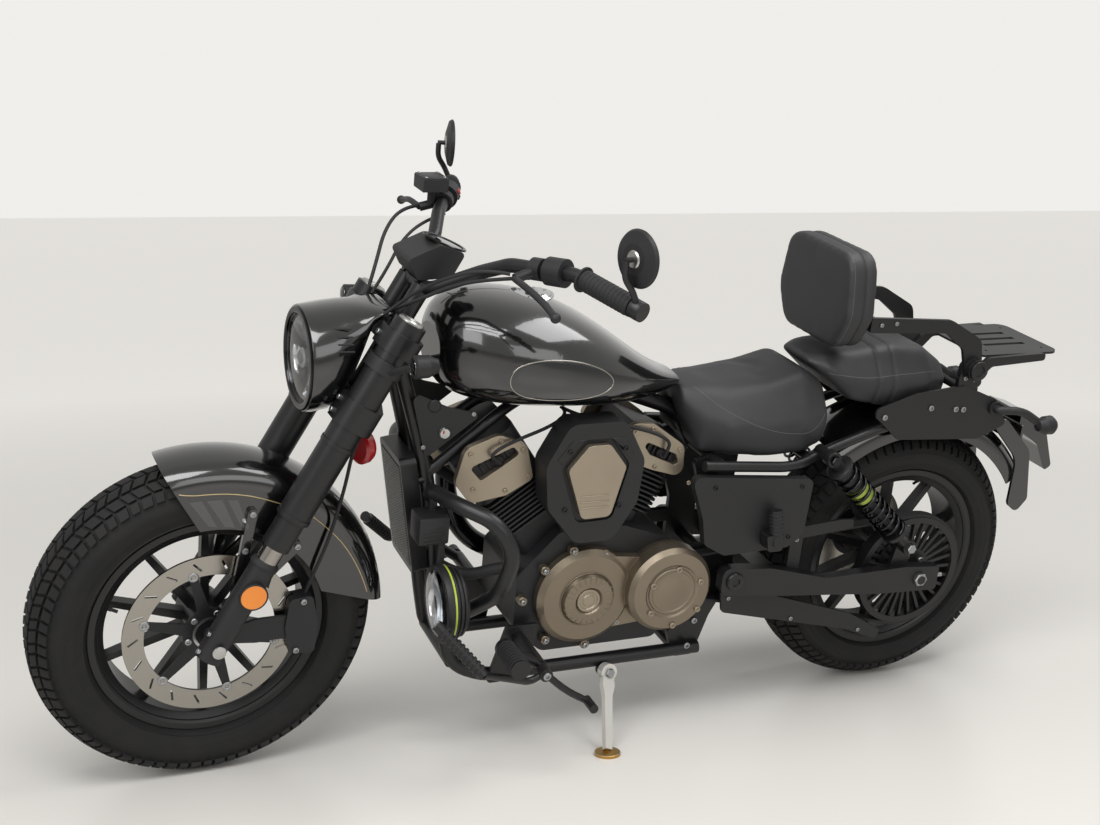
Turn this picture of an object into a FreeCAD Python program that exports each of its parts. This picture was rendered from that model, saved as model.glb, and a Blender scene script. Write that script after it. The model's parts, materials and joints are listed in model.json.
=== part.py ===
import FreeCAD, Part
import os
from math import acos, asin, atan2, cos, degrees, hypot, pi, radians, sin, sqrt, tan

# A cruiser motorcycle parked on its side stand. Millimetres.
# Pieces are drawn on the upright machine: +X forward, +Y to its left, +Z up, x = 0 at the rear
# axle, y = 0 on the middle plane and z = 0 on the ground. They are then steered, leaned and set down.

# Stance
LEAN = 11.9
STEER = 2.4
ORIGIN_X = 718.0
ORIGIN_Y = 213.0

# Chassis
WHEELBASE = 1520.0
RAKE = 29.35
FORK_OFFSET = 42.0
FORK_SPACING = 216.0
FRAME_TUBE = 32.0
TUNNEL_ROOM = 2.0
RAIL_TUBE = 28.0
SEAT_TUBE = 22.0
HEAD_TUBE = 62.0
CRADLE_HALF = 100.0

# Wheels
FRONT_RADIUS = 320.0
FRONT_WIDTH = 130.0
FRONT_FLANGE = 217.0
REAR_RADIUS = 306.0
REAR_WIDTH = 150.0
REAR_FLANGE = 213.0
FRONT_CROWN = 72.0
REAR_CROWN = 85.0
FRONT_BEAD = 44.0
REAR_BEAD = 56.0
CONTACT_ANGLE = 12.0
FLANGE_WALL = 4.0
SPOKE_COUNT = 10
AXLE_RADIUS = 10.0
HUB_GAP = 0.05
SEAT_GAP = 0.3

# Front brake
DISC_RADIUS = 160.0
DISC_INNER = 121.0
DISC_THICK = 5.0
DISC_OFFSET = 64.0
DISC_SLOTS = 18

# Fork
COVER_RADIUS = 31.0
STANCHION_RADIUS = 20.5
LEG_RADIUS = 25.0
COVER_BOTTOM = 275.0
COVER_TOP = 690.0
CROWN_LOW = (472.0, 522.0)
CROWN_HIGH = (628.0, 666.0)
CROWN_WALL = 3.0
LEG_TOP = 172.0

# Front fender
FENDER_GAP = 22.0
FENDER_HALF = 74.0
FENDER_WALL = 2.5
FENDER_SKIRT = 215.0
REAR_FENDER_GAP = 62.0
REAR_FENDER_HALF = 90.0
REAR_FENDER_WALL = 3.0

# Handlebar
BAR_RADIUS = 13.0
GRIP_RADIUS = 18.0
MIRROR_RADIUS = 49.0

# Engine
CRANK = (782.0, 335.0)
FRONT_CYLINDER_ANGLE = 35.0
REAR_CYLINDER_ANGLE = -26.0
CASE_HALF = 95.0
CASE_REAR = 585.0
HEAD_HALF = 84.0
FIN_HALF = 70.0
FIN_LOW = 192.0
FIN_PITCH = 10.0
FIN_COUNT = 9
COVER_DEPTH = 14.0
COVER_FACES = (138.3, 158.0)
PORT_RADIUS = 21.0

# Rear drive
SWING_PIVOT = (468.0, 352.0)
ARM_INNER = 138.0
ARM_OUTER = 163.0
PULLEY_RADIUS = 128.0
PULLEY_OFFSET = 110.0
BELT_WIDTH = 24.0
PULLEY_SPOKES = 28
FRONT_PULLEY = (560.0, 352.0, 42.0)
SHOCK_TOP = (275.0, 157.0, 609.0)
SHOCK_BOTTOM = (44.0, 157.0, 387.0)
SHOCK_EYE_HALF = 12.5
COIL_COUNT = 10

CAP_RADIUS = 38.0

# Side stand
STAND_PIVOT = (723.0, 134.0, 160.0)
STAND_FOOT = (769.0, 262.0)
STAND_AXIS = (-0.1, 1.0, 0.3)
FOOT_THICK = 6.0

# Radiator: the foot and the head of its rear face, half its width, its thickness
RADIATOR_LOW = (1101.0, 0.0, 400.0)
RADIATOR_HIGH = (1139.0, 0.0, 640.0)
RADIATOR_HALF = 68.0
RADIATOR_THICK = 32.0

# Backrest and rack
CLAMP_POINT = (-69.0, 776.0)
RAIL_Y = 103.0
RACK_HOLE = 3.3

# Undersides of the seats
RIDER_BASE = 614.3
PILLION_BASE = 686.0

Vec = FreeCAD.Vector
X, Y, Z = Vec(1, 0, 0), Vec(0, 1, 0), Vec(0, 0, 1)
SPACING_HALF = FORK_SPACING / 2
LEG_INNER = SPACING_HALF - LEG_RADIUS
LEG_OUTER = SPACING_HALF + LEG_RADIUS
FRONT_AXLE = Vec(WHEELBASE, 0, FRONT_RADIUS)
REAR_AXLE = Vec(0, 0, REAR_RADIUS)
STEER_AXIS = Vec(-sin(radians(RAKE)), 0, cos(radians(RAKE)))
STEER_NORMAL = Vec(cos(radians(RAKE)), 0, sin(radians(RAKE)))
STEER_POINT = FRONT_AXLE - STEER_NORMAL * FORK_OFFSET


# Geometry helpers

def vec(p):
    return Vec(*p)


def unit(v):
    v = Vec(v)
    v.normalize()
    return v


def cylinder(start, end, radius):
    start, end = Vec(start), Vec(end)
    return Part.makeCylinder(radius, (end - start).Length, start, unit(end - start))


def cone(start, end, r_start, r_end):
    start, end = Vec(start), Vec(end)
    return Part.makeCone(r_start, r_end, (end - start).Length, start, unit(end - start))


def block(low, high):
    low, high = Vec(low), Vec(high)
    d = high - low
    return Part.makeBox(d.x, d.y, d.z, low)


def fuse(shapes):
    first, rest = shapes[0], shapes[1:]
    return first.fuse(rest).removeSplitter() if rest else first


def mirrored(shapes):
    return [s.mirror(Vec(0, 0, 0), Y) for s in shapes]


def both_sides(shapes):
    return shapes + mirrored(shapes)


# A chain of straight runs whose corners are rounded by tangent arcs.
def rounded_wire(points, radii, closed=False):
    n = len(points)
    ends = []
    for i, p in enumerate(points):
        if not closed and i in (0, n - 1) or radii[i] <= 0:
            ends.append((p, p, None))
            continue
        back = unit(points[i - 1] - p)
        ahead = unit(points[(i + 1) % n] - p)
        half = back.getAngle(ahead) / 2
        reach = radii[i] / tan(half)
        middle = p + unit(back + ahead) * (radii[i] / sin(half) - radii[i])
        ends.append((p + back * reach, p + ahead * reach, middle))
    edges = []
    for i, (a, b, middle) in enumerate(ends):
        if middle is not None:
            edges.append(Part.Arc(a, middle, b).toShape())
        if i < n - 1 or closed:
            following = ends[(i + 1) % n][0]
            if (following - b).Length > 1e-6:
                edges.append(Part.LineSegment(b, following).toShape())
    return Part.Wire(edges)


# The largest even bend that the runs beside each point allow.
def even_radii(points, share=0.45):
    radii = [0.0]
    for before, p, after in zip(points, points[1:], points[2:]):
        half = unit(before - p).getAngle(unit(after - p)) / 2
        radii.append(share * min((before - p).Length, (after - p).Length) * tan(half))
    return radii + [0.0]


# A round bar along straight runs and tangent arcs.
def tube(points, radius, radii=None):
    points = [Vec(*p) for p in points]
    path = rounded_wire(points, radii or even_radii(points))
    pieces = []
    for edge in path.Edges:
        start = edge.valueAt(edge.FirstParameter)
        along = unit(edge.tangentAt(edge.FirstParameter))
        if edge.Curve.TypeId == "Part::GeomCircle":
            arc = edge.Curve
            section = Part.Face(Part.Wire(Part.makeCircle(radius, start, along)))
            turn = edge.LastParameter - edge.FirstParameter
            spin = arc.Axis if arc.Axis.cross(start - arc.Center).dot(along) > 0 else arc.Axis * -1
            pieces.append(section.revolve(arc.Center, spin, degrees(abs(turn))))
        else:
            pieces.append(Part.makeCylinder(radius, edge.Length, start, along))
    return fuse(pieces)


# A flat piece in the XZ plane between two offsets; rows are (x, z, corner radius).
def plate(rows, y_low, y_high):
    points = [Vec(x, y_low, z) for x, z, r in rows]
    wire = rounded_wire(points, [r for x, z, r in rows], closed=True)
    return Part.Face(wire).extrude(Vec(0, y_high - y_low, 0))


# A flat piece in the plane of two directions; rows are (a, b, corner radius).
def panel(rows, origin, across, along, thickness):
    points = [Vec(origin) + across * a + along * b for a, b, r in rows]
    wire = rounded_wire(points, [r for a, b, r in rows], closed=True)
    return Part.Face(wire).extrude(unit(across.cross(along)) * thickness)


# A flat bar with round ends between two points (x, z) and between two offsets.
def bar_plate(start, end, half, y_low, y_high):
    a, b = Vec(start[0], y_low, start[1]), Vec(end[0], y_low, end[1])
    along = unit(b - a)
    side = along.cross(Y)
    corners = [a - along * half + side * half, b + along * half + side * half,
               b + along * half - side * half, a - along * half - side * half]
    wire = rounded_wire(corners, [half * 0.96] * 4, closed=True)
    return Part.Face(wire).extrude(Y * (y_high - y_low))


def turned(rows, centre):
    points = [Vec(centre.x + r, centre.y + y, centre.z) for r, y in rows]
    face = Part.Face(Part.makePolygon(points + points[:1]))
    return face.revolve(centre, Y, 360)


def turned_about(rows, start, direction):
    side = unit(direction.cross(Y if abs(direction.y) < 0.9 else X))
    points = [start + direction * a + side * r for r, a in rows]
    face = Part.Face(Part.makePolygon(points + points[:1]))
    return face.revolve(start, direction, 360)


# A smooth closed section across X, wider at z_wide than at its top and bottom.
def cross_section(x, half, z_low, z_wide, z_top, power, points=16):
    ring = []
    for i in range(points):
        t = 2 * pi * (i + 0.5) / points
        c, s = cos(t), sin(t)
        reach = z_top - z_wide if s > 0 else z_wide - z_low
        y = half * (abs(c) ** (2 / power)) * (1 if c > 0 else -1)
        z = z_wide + reach * (abs(s) ** (2 / power)) * (1 if s > 0 else -1)
        ring.append(Vec(x, y, z))
    curve = Part.BSplineCurve()
    curve.interpolate(Points=ring, PeriodicFlag=True)
    return Part.Wire(curve.toShape())


def loft(sections, ruled=False):
    return Part.makeLoft(sections, True, ruled)


# A cushion's section across X: flat below, rounded shoulders, six corners.
def cushion_section(x, half, z_low, z_wide, z_top):
    corners = [(-0.86 * half, z_low, 10), (-half, z_wide, 24), (-0.62 * half, z_top, 30),
               (0.62 * half, z_top, 30), (half, z_wide, 24), (0.86 * half, z_low, 10)]
    room = min(z_top - z_wide, z_wide - z_low) / 60.0
    scale = min(1.0, room)
    points = [Vec(x, y, z) for y, z, r in corners]
    return rounded_wire(points, [r * scale for y, z, r in corners], closed=True)


# A thin arch swept round an axle: straight skirts, rounded shoulders and a low crown.
def arch(centre, half, radius, skirt, wall, start, end):
    out = Vec(cos(radians(start)), 0, sin(radians(start)))
    ring = []
    for inset, order in ((0.0, 1), (wall, -1)):
        h, r = half - inset, radius - inset
        rows = [(-h, skirt, 0), (-h, r - 14, 42 - inset), (0, r + 6, 150 - inset), (h, r - 14, 42 - inset),
                (h, skirt, 0)]
        ring += rows[::order]
    wire = rounded_wire([centre + out * r + Y * y for y, r, c in ring], [c for y, r, c in ring], closed=True)
    return Part.Face(wire).revolve(centre, Y, start - end)


# Fork geometry: a point at a distance along a leg above the axle and an offset from the middle.
def on_fork(distance, y=0.0, ahead=0.0):
    return FRONT_AXLE + STEER_AXIS * distance + Y * y + STEER_NORMAL * ahead


def on_steering(distance, y=0.0, ahead=0.0):
    return STEER_POINT + STEER_AXIS * distance + Y * y + STEER_NORMAL * ahead


# The rings (radius, offset) of a tyre's crown, from its middle band to the shoulder, on both sides.
def crown_rings(radius, width, crown):
    shoulder = degrees(asin((width / 2 - 7.0) / crown))
    rings = []
    for angle in (CONTACT_ANGLE, 33.0, shoulder):
        a = radians(angle)
        rings.append((radius - crown * (cos(radians(CONTACT_ANGLE)) - cos(a)), crown * sin(a)))
    return rings + [(r, -y) for r, y in rings]


def lowest_point(centre, axle, rings):
    spread = sqrt(1 - axle.z ** 2)
    return min(centre.z + axle.z * y - r * spread for r, y in rings)


def stance():
    lean = FreeCAD.Rotation(X, -LEAN)
    turn = FreeCAD.Rotation(STEER_AXIS, STEER)
    front = lean.multVec(STEER_POINT + turn.multVec(FRONT_AXLE - STEER_POINT))
    rear = lean.multVec(REAR_AXLE)
    front_rings = crown_rings(FRONT_RADIUS, FRONT_WIDTH, FRONT_CROWN)
    rear_rings = crown_rings(REAR_RADIUS, REAR_WIDTH, REAR_CROWN)
    front_low = lowest_point(front, lean.multVec(turn.multVec(Y)), front_rings)
    rear_low = lowest_point(rear, lean.multVec(Y), rear_rings)
    pitch = FreeCAD.Rotation(Y, degrees(atan2(front_low - rear_low, front.x - rear.x)))
    drop = lowest_point(pitch.multVec(rear), pitch.multVec(lean.multVec(Y)), rear_rings)
    return FreeCAD.Placement(Vec(-ORIGIN_X, -ORIGIN_Y, -drop), pitch.multiply(lean))


STANCE = stance()
STEERED = FreeCAD.Placement(Vec(0, 0, 0), FreeCAD.Rotation(STEER_AXIS, STEER), STEER_POINT)


# The height of the floor under a point of the upright machine.
def floor_height(x, y):
    base = STANCE.inverse()
    up = base.Rotation.multVec(Z)
    ground = base.multVec(Vec(0, 0, 0))
    return ground.z - (up.x * (x - ground.x) + up.y * (y - ground.y)) / up.z


# Wheels

def tyre(centre, radius, width, crown, flange, bead_half):
    inner = flange - 18.0 + SEAT_GAP
    left = crown_rings(radius, width, crown)[:3]
    wall = left[-1][0] - flange
    left += [(flange + 0.62 * wall, width / 2 - 1.0), (flange + 0.32 * wall, width / 2 - 2.0),
             (flange + 1.0, bead_half - 1.0), (inner, bead_half - 1.0)]
    return turned(left[::-1] + [(r, -y) for r, y in left], centre)


def rim(centre, flange, bead_half, hub_radius, hub_half):
    seat = flange - 18.0
    well = seat - 12.0
    outer = bead_half + FLANGE_WALL
    barrel = turned([(flange, bead_half), (flange, outer), (seat + 6, outer), (well, bead_half - 10),
                     (well, 10 - bead_half), (seat + 6, -outer), (flange, -outer), (flange, -bead_half),
                     (seat, -bead_half), (seat, bead_half)], centre)
    bore = AXLE_RADIUS + HUB_GAP
    step = hub_half - 8
    hub = turned([(bore, -hub_half), (bore, hub_half), (hub_radius * 0.6, hub_half), (hub_radius, step),
                  (hub_radius, -step), (hub_radius * 0.6, -hub_half)], centre)
    spokes = []
    rows = [(9, hub_radius - 4, 0), (6, well + 4, 0), (-6, well + 4, 0), (-9, hub_radius - 4, 0)]
    for i in range(SPOKE_COUNT):
        angle = 2 * pi * (i + 0.5) / SPOKE_COUNT
        out = Vec(cos(angle), 0, sin(angle))
        spokes.append(panel(rows, centre - Y * 12, Y.cross(out) * -1, out, 24.0))
    return fuse([barrel, hub] + spokes)


def front_tyre():
    return [tyre(FRONT_AXLE, FRONT_RADIUS, FRONT_WIDTH, FRONT_CROWN, FRONT_FLANGE, FRONT_BEAD)]


def rear_tyre():
    return [tyre(REAR_AXLE, REAR_RADIUS, REAR_WIDTH, REAR_CROWN, REAR_FLANGE, REAR_BEAD)]


def front_rim():
    return [rim(FRONT_AXLE, FRONT_FLANGE, FRONT_BEAD, 42.0, 56.0)]


def rear_rim():
    return [rim(REAR_AXLE, REAR_FLANGE, REAR_BEAD, 50.0, 78.0)]


# A floating disc ring with slanted slots, carried on a star with six arms.
def front_disc():
    low = DISC_OFFSET - DISC_THICK / 2
    ring = turned([(DISC_INNER, low), (DISC_RADIUS, low), (DISC_RADIUS, low + DISC_THICK),
                   (DISC_INNER, low + DISC_THICK)], FRONT_AXLE)
    slots = []
    middle = (DISC_INNER + DISC_RADIUS) / 2
    for i in range(DISC_SLOTS):
        angle = 2 * pi * i / DISC_SLOTS
        slot = Part.makeBox(22, DISC_THICK + 2, 4, Vec(-11, low - 1, -2))
        slot.rotate(Vec(0, 0, 0), Y, 35)
        slot.translate(Vec(middle, 0, 0))
        slot.rotate(Vec(0, 0, 0), Y, degrees(angle))
        slot.translate(FRONT_AXLE)
        slots.append(slot)
    ring = ring.cut(slots)
    star = [turned([(34, low), (52, low), (52, low + DISC_THICK), (34, low + DISC_THICK)], FRONT_AXLE)]
    for i in range(6):
        angle = 2 * pi * (i + 0.25) / 6
        out = Vec(cos(angle), 0, sin(angle))
        side = out.cross(Y)
        rows = [(48, 12, 0), (DISC_INNER + 4, 7, 3), (DISC_INNER + 4, -7, 3), (48, -12, 0)]
        star.append(panel(rows, FRONT_AXLE + Y * (low + DISC_THICK), out, side, DISC_THICK))
    hub = cylinder(FRONT_AXLE + Y * 56.3, FRONT_AXLE + Y * (low + DISC_THICK), 40)
    bore = cylinder(FRONT_AXLE + Y * 50, FRONT_AXLE + Y * 80, 14)
    return [fuse([ring] + star + [hub]).cut(bore)]


def rear_disc():
    low = -92.0
    hub = -78.3
    disc = turned([(60, low), (120, low), (120, low + 5), (60, low + 5)], REAR_AXLE)
    rows = [(26, low + 1), (62, low + 1), (62, low + 5), (44, low + 5), (44, hub), (26, hub)]
    hat = turned(rows, REAR_AXLE)
    return [disc.fuse(hat)]


# A toothed pulley: a rim with a belt land, thin radial spokes and a hub that bolts to the wheel.
def rear_pulley():
    low = PULLEY_OFFSET - BELT_WIDTH / 2 - 2
    high = low + BELT_WIDTH + 4
    land = turned([(PULLEY_RADIUS - 14, low), (PULLEY_RADIUS, low), (PULLEY_RADIUS, high),
                   (PULLEY_RADIUS - 14, high)], REAR_AXLE)
    hub = turned([(16, 78.3), (52, 78.3), (52, high - 4), (16, high - 4)], REAR_AXLE)
    spokes = []
    for i in range(PULLEY_SPOKES):
        angle = 2 * pi * i / PULLEY_SPOKES
        out = Vec(cos(angle), 0, sin(angle))
        side = out.cross(Y)
        rows = [(48, 3.5, 0), (PULLEY_RADIUS - 12, 3.5, 0), (PULLEY_RADIUS - 12, -3.5, 0), (48, -3.5, 0)]
        spokes.append(panel(rows, REAR_AXLE + Y * (high - 4), out, side, 10))
    return [fuse([land, hub] + spokes)]


# Fork and front end, on the steering body

def fork():
    parts = []
    for side in (-1, 1):
        y = side * SPACING_HALF
        parts.append(cylinder(on_fork(COVER_BOTTOM, y), on_fork(COVER_TOP, y), COVER_RADIUS))
        parts.append(cylinder(on_fork(215, y), on_fork(COVER_BOTTOM + 2, y), 27.0))
    for low, high, back in (CROWN_LOW + (70,), CROWN_HIGH + (56,)):
        edge = COVER_RADIUS + CROWN_WALL
        reach = SPACING_HALF + edge
        rows = [(-edge, -reach, edge - 1), (edge, -reach, edge - 1), (edge, -74, 14), (8, -48, 14),
                (8, 48, 14), (edge, 74, 14), (edge, reach, edge - 1), (-edge, reach, edge - 1),
                (-back, 40, 20), (-back, -40, 20)]
        parts.append(panel(rows, on_fork(low), STEER_NORMAL, Y, high - low))
    stem = cylinder(on_steering(CROWN_LOW[1] - 4), on_steering(CROWN_HIGH[0] + 4), 14)
    return [fuse(parts + [stem])]


def fork_lower():
    parts = []
    for side in (-1, 1):
        y = side * SPACING_HALF
        parts.append(cylinder(on_fork(-30, y), on_fork(LEG_TOP, y), LEG_RADIUS))
        parts.append(cylinder(on_fork(LEG_TOP - 2, y), on_fork(215 - SEAT_GAP, y), STANCHION_RADIUS))
        hub, leg = FRONT_AXLE + Y * side * 56.3, FRONT_AXLE + Y * side * (SPACING_HALF - 10)
        parts.append(cylinder(hub, leg, 13.5))
    axle_half = LEG_OUTER + 6
    parts.append(cylinder(FRONT_AXLE - Y * axle_half, FRONT_AXLE + Y * axle_half, AXLE_RADIUS))
    return [fuse(parts)]


# A deep fender that follows the tyre, swept round the axle as a thin skin.
def front_fender():
    crown = FRONT_RADIUS + FENDER_GAP
    skin = arch(FRONT_AXLE, FENDER_HALF, crown, FENDER_SKIRT, FENDER_WALL, 68, 180)
    ahead = [(1609, 651, 0), (1542, 533, 0), (1500, 440, 0), (1760, 440, 0), (1760, 760, 0), (1671, 760, 0)]
    behind = [(1120, 318, 0), (1286, 374, 0), (1370, 402, 0), (1370, 240, 0), (1120, 240, 0)]
    skin = skin.cut([plate(rows, -120, 120) for rows in (ahead, behind)])
    straps = []
    for top, foot in ((on_fork(246, 0, 58), on_fork(92, 0, 4)), (on_fork(222, 0, -52), on_fork(52, 0, -2))):
        straps.append(bar_plate((top.x, top.z), (foot.x, foot.z), 9, FENDER_HALF - 1, LEG_INNER - SEAT_GAP))
    return [fuse([skin] + both_sides(straps))]


# An amber reflector outside each fork leg.
def fork_reflectors():
    y = LEG_OUTER + SEAT_GAP
    leg = on_fork(122)
    return both_sides([cylinder((leg.x, y, leg.z), (leg.x, y + 9, leg.z), 25)])


def headlamp_shell():
    front = Vec(1353, 0, 826)
    rows = [(0, -86), (40, -82), (62, -66), (84, -46), (98, -30), (98, -8), (92, 0), (80, 0), (80, -22),
            (0, -22)]
    bowl = turned_about(rows, front, X)
    rows = [(1335, 922, 16), (1290, 930, 30), (1195, 932, 6), (1195, 921, 5), (1250, 908, 20), (1325, 880, 0)]
    hood = plate(rows, -64, 64)
    foot, toe = on_fork(CROWN_LOW[1] + SEAT_GAP, 0, -4), on_fork(CROWN_LOW[1] + SEAT_GAP, 0, 8)
    rows = [(toe.x, toe.z, 0), (1292, 802, 0), (1300, 842, 0), (1254, 822, 8), (foot.x, foot.z, 0)]
    bracket = plate(rows, -14, 14)
    return [fuse([bowl, hood, bracket])]


def headlamp_lens():
    front = Vec(1353, 0, 826)
    rows = [(0, -21.7), (79.7, -21.7), (79.7, -8), (60, 0), (30, 5), (0, 6)]
    return [turned_about(rows, front, X)]


# x, y, z and bend radius, from the middle of the bar to its left end
BAR_ROWS = [(1140, 0, 964, 0), (1134, 62, 966, 40), (1060, 120, 1014, 50), (1032, 180, 1044, 60),
            (965, 300, 1060, 90), (915, 420, 1040, 0)]


# Two points on the bar's outer (-1) or next inner (-2) straight run.
def bar_side(first, last, run=-1):
    start, end = Vec(*BAR_ROWS[run - 1][:3]), Vec(*BAR_ROWS[run][:3])
    return start + (end - start) * first, start + (end - start) * last


def handlebar():
    left = [(Vec(x, y, z), r) for x, y, z, r in BAR_ROWS]
    right = [(Vec(p.x, -p.y, p.z), r) for p, r in reversed(left[1:])]
    points, radii = zip(*(right + left))
    parts = [tube(points, BAR_RADIUS, radii)]
    for side in (-1, 1):
        foot = on_steering(CROWN_HIGH[1] + SEAT_GAP, side * 38, 26)
        parts.append(cylinder(foot, foot + STEER_AXIS * 84, 18))
    return [fuse(parts)]


def grips():
    a, b = bar_side(0.13, 0.985)
    along = b - a
    ends = [a - along, b + along]
    sleeve = cylinder(a, b, GRIP_RADIUS).cut(cylinder(ends[0], ends[1], BAR_RADIUS + SEAT_GAP))
    return both_sides([sleeve])


# The instrument, above the bar between the risers.
def instrument():
    rows = [(1172, 1018, 8), (1110, 1044, 10), (1062, 1026, 8), (1086, 982, 12), (1152, 978.5, 12)]
    return [plate(rows, -48, 48)]


def hand_controls():
    a, b = bar_side(0.60, 0.86, -2)
    along = unit(b - a)
    bore = cylinder(a - along * 150, b + along * 60, BAR_RADIUS + SEAT_GAP)
    housing = cylinder(a, b, 25).cut(bore)
    perch, _ = bar_side(0.44, 0.5, -2)
    pivot = Vec(1049, 240, 1038)
    parts = [cylinder(perch - along * 11, perch + along * 11, 20)]
    parts.append(cylinder(perch, pivot, 9))
    ball = Vec(1036, 384, 1015)
    parts.append(tube([pivot, (1052, 290, 1040), (1040, 340, 1028), ball], 6))
    parts.append(Part.makeSphere(9, ball))
    lever = fuse(parts).cut(bore)
    right = mirrored([housing, lever])
    reservoir = block((1004, -262, 1075), (1056, -206, 1100))
    neck = cylinder((1026, -234, 1046), (1026, -234, 1076), 10)
    right[1] = fuse([right[1], reservoir, neck.cut(mirrored([bore])[0])])
    return [housing, lever] + right


def mirrors():
    start, end = bar_side(0, 1)
    along = unit(end - start)
    centre = Vec(930, 428, 1124)
    face = unit(Vec(-1, -0.25, 0.0))
    cap = cylinder(end + along * SEAT_GAP, end + along * 22, 17)
    base = end + along * 11
    arm = tube([base, base + Vec(16, 4, 34), centre + face * -14 - Z * 30, centre + face * -14 - Z * 2], 5.5)
    stem = cylinder(centre - face * 16, centre + face * 2, 4.5)
    head = turned_about([(0, 0), (26, 1), (MIRROR_RADIUS - 3, 7), (MIRROR_RADIUS, 12),
                         (MIRROR_RADIUS - 2, 14), (0, 14)], centre, face)
    return both_sides([fuse([cap, arm, stem, head])])


def front_indicators():
    tip = Vec(1192, 204, 874)
    root = on_fork(600, SPACING_HALF + COVER_RADIUS + 1.5)
    ring = cylinder(on_fork(588, SPACING_HALF), on_fork(612, SPACING_HALF), COVER_RADIUS + 5)
    stalk = cylinder(root, tip, 7)
    bore = cylinder(on_fork(570, SPACING_HALF), on_fork(626, SPACING_HALF), COVER_RADIUS + SEAT_GAP)
    body = turned_about([(0, -32), (12, -28), (20, -10), (21, 14), (17, 17), (0, 19)], tip, X)
    return both_sides([fuse([ring, stalk, body]).cut(bore)])


def brake_caliper():
    centre = Vec(1356, 0, 322)
    rows = [(-28, -62, 10), (22, -56, 12), (30, 0, 20), (22, 58, 12), (-22, 62, 10), (-34, 0, 20)]
    body = plate([(centre.x + a, centre.z + b, r) for a, b, r in rows], 54, 88)
    gap = DISC_OFFSET - DISC_THICK, DISC_OFFSET + DISC_THICK
    slot = turned([(DISC_INNER - 8, gap[0]), (DISC_RADIUS + 5, gap[0]), (DISC_RADIUS + 5, gap[1]),
                   (DISC_INNER - 8, gap[1])], FRONT_AXLE)
    rows = [(1372, 345, 6), (1440, 345, 6), (1502, 330, 6), (1502, 304, 6), (1440, 296, 6), (1372, 298, 6)]
    bracket = plate(rows, 76, LEG_INNER - SEAT_GAP)
    return [body.cut(slot).fuse(bracket)]


def brake_hose():
    top = on_fork(CROWN_LOW[0] - SEAT_GAP, 92, -40)
    low = top - STEER_AXIS * 36
    points = [(1346, 74, 384.3), (1336, 84, 424), (1314, 88, 482), (1294, 84, 546), (1280, 86, 610), low, top]
    return [tube(points, 3.5)]


# Frame and what it carries

def down_tube(radius):
    return tube([(1172, 36, 820), (1108, 60, 590), (1078, 62, 330), (1048, 84, 196), (985, CRADLE_HALF, 171),
                 (500, CRADLE_HALF, 171)], radius)


BACKBONE = [(1174, 0, 811), (960, 0, 776), (700, 0, 728), (560, 0, 676), (520, 0, 606)]


# The room that the tank and the seat leave for the backbone and for fitting them from above.
def backbone_tunnel():
    low = [(520, 0, 540), (1190, 0, 540)]
    outline = [Vec(x, -17, z) for x, y, z in BACKBONE + low]
    slot = Part.Face(Part.makePolygon(outline + outline[:1])).extrude(Y * 34)
    return tube(BACKBONE, FRAME_TUBE / 2 + TUNNEL_ROOM).fuse(slot)


# The plane of the radiator's rear face: its point at a height z, and its normal.
def radiator_back(z, y=0.0):
    low, high = vec(RADIATOR_LOW), vec(RADIATOR_HIGH)
    return low + (high - low) * ((z - low.z) / (high.z - low.z)) + Y * y


def radiator_normal():
    return unit(Y.cross(vec(RADIATOR_HIGH) - vec(RADIATOR_LOW)))


def frame():
    foot, top = on_steering(CROWN_LOW[1] + SEAT_GAP), on_steering(CROWN_HIGH[0] - SEAT_GAP)
    head = cylinder(foot, top, HEAD_TUBE / 2)
    stem_room = cylinder(on_steering(500), on_steering(650), 20)
    parts = [head, tube(BACKBONE, FRAME_TUBE / 2)]
    brace = tube([(1112, 60, 606), (970, 50, 716), (905, 0, 723)], 11)
    parts += both_sides([down_tube(RAIL_TUBE / 2), brace])
    parts.append(cylinder((905, 0, 717), (905, 0, 764), 11))
    start, slope = vec(BACKBONE[0]), unit(vec(BACKBONE[1]) - vec(BACKBONE[0]))
    collar = FRAME_TUBE / 2 + TUNNEL_ROOM - SEAT_GAP
    parts.append(cylinder(start + slope * 95, start + slope * 125, collar))
    rails = [(560, 138, 606), (350, 138, 588), (275, 110, 600), (190, RAIL_Y, 624), (90, RAIL_Y, 655),
             (-60, RAIL_Y, 672)]
    parts += both_sides([tube(rails, SEAT_TUBE / 2)])
    sides = [(505, 150, 12), (552, 150, 12), (574, 215, 14), (512, 250, 12), (506, 300, 0), (506, 440, 16),
             (560, 600, 10), (520, 610, 10), (440, 430, 20), (436, 320, 20), (478, 240, 20)]
    lug = block((500, 83, 380), (CASE_REAR - SEAT_GAP, CASE_HALF, 410))
    parts += both_sides([plate(sides, 83, CASE_HALF), lug])
    crossings = [(*SWING_PIVOT, ARM_INNER - SEAT_GAP, 12), (1048, 200, 84, 12), (548, 171, CRADLE_HALF, 12),
                 (520, 603, 138, 11), (300, 594, 118, 10)]
    for x, z, half, radius in crossings:
        parts.append(cylinder((x, -half, z), (x, half, z), radius))
    normal = radiator_normal()
    for z in (450, 590):
        face = radiator_back(z, 62) - normal * SEAT_GAP
        parts += both_sides([cylinder(face - normal * 26, face, 7)])
    shock = vec(SHOCK_TOP)
    eye = shock.y - SHOCK_EYE_HALF - SEAT_GAP
    parts += both_sides([cylinder((shock.x, 108, shock.z), (shock.x, eye, shock.z), 13)])
    pivot, axis = vec(STAND_PIVOT), unit(vec(STAND_AXIS))
    parts.append(cylinder(pivot - axis * 30, pivot - axis * (9 + SEAT_GAP), 11))
    parts.append(block((-45, -RAIL_Y, 680.6), (-15, RAIL_Y, PILLION_BASE - SEAT_GAP)))
    return [fuse(parts).cut(stem_room)]


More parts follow.
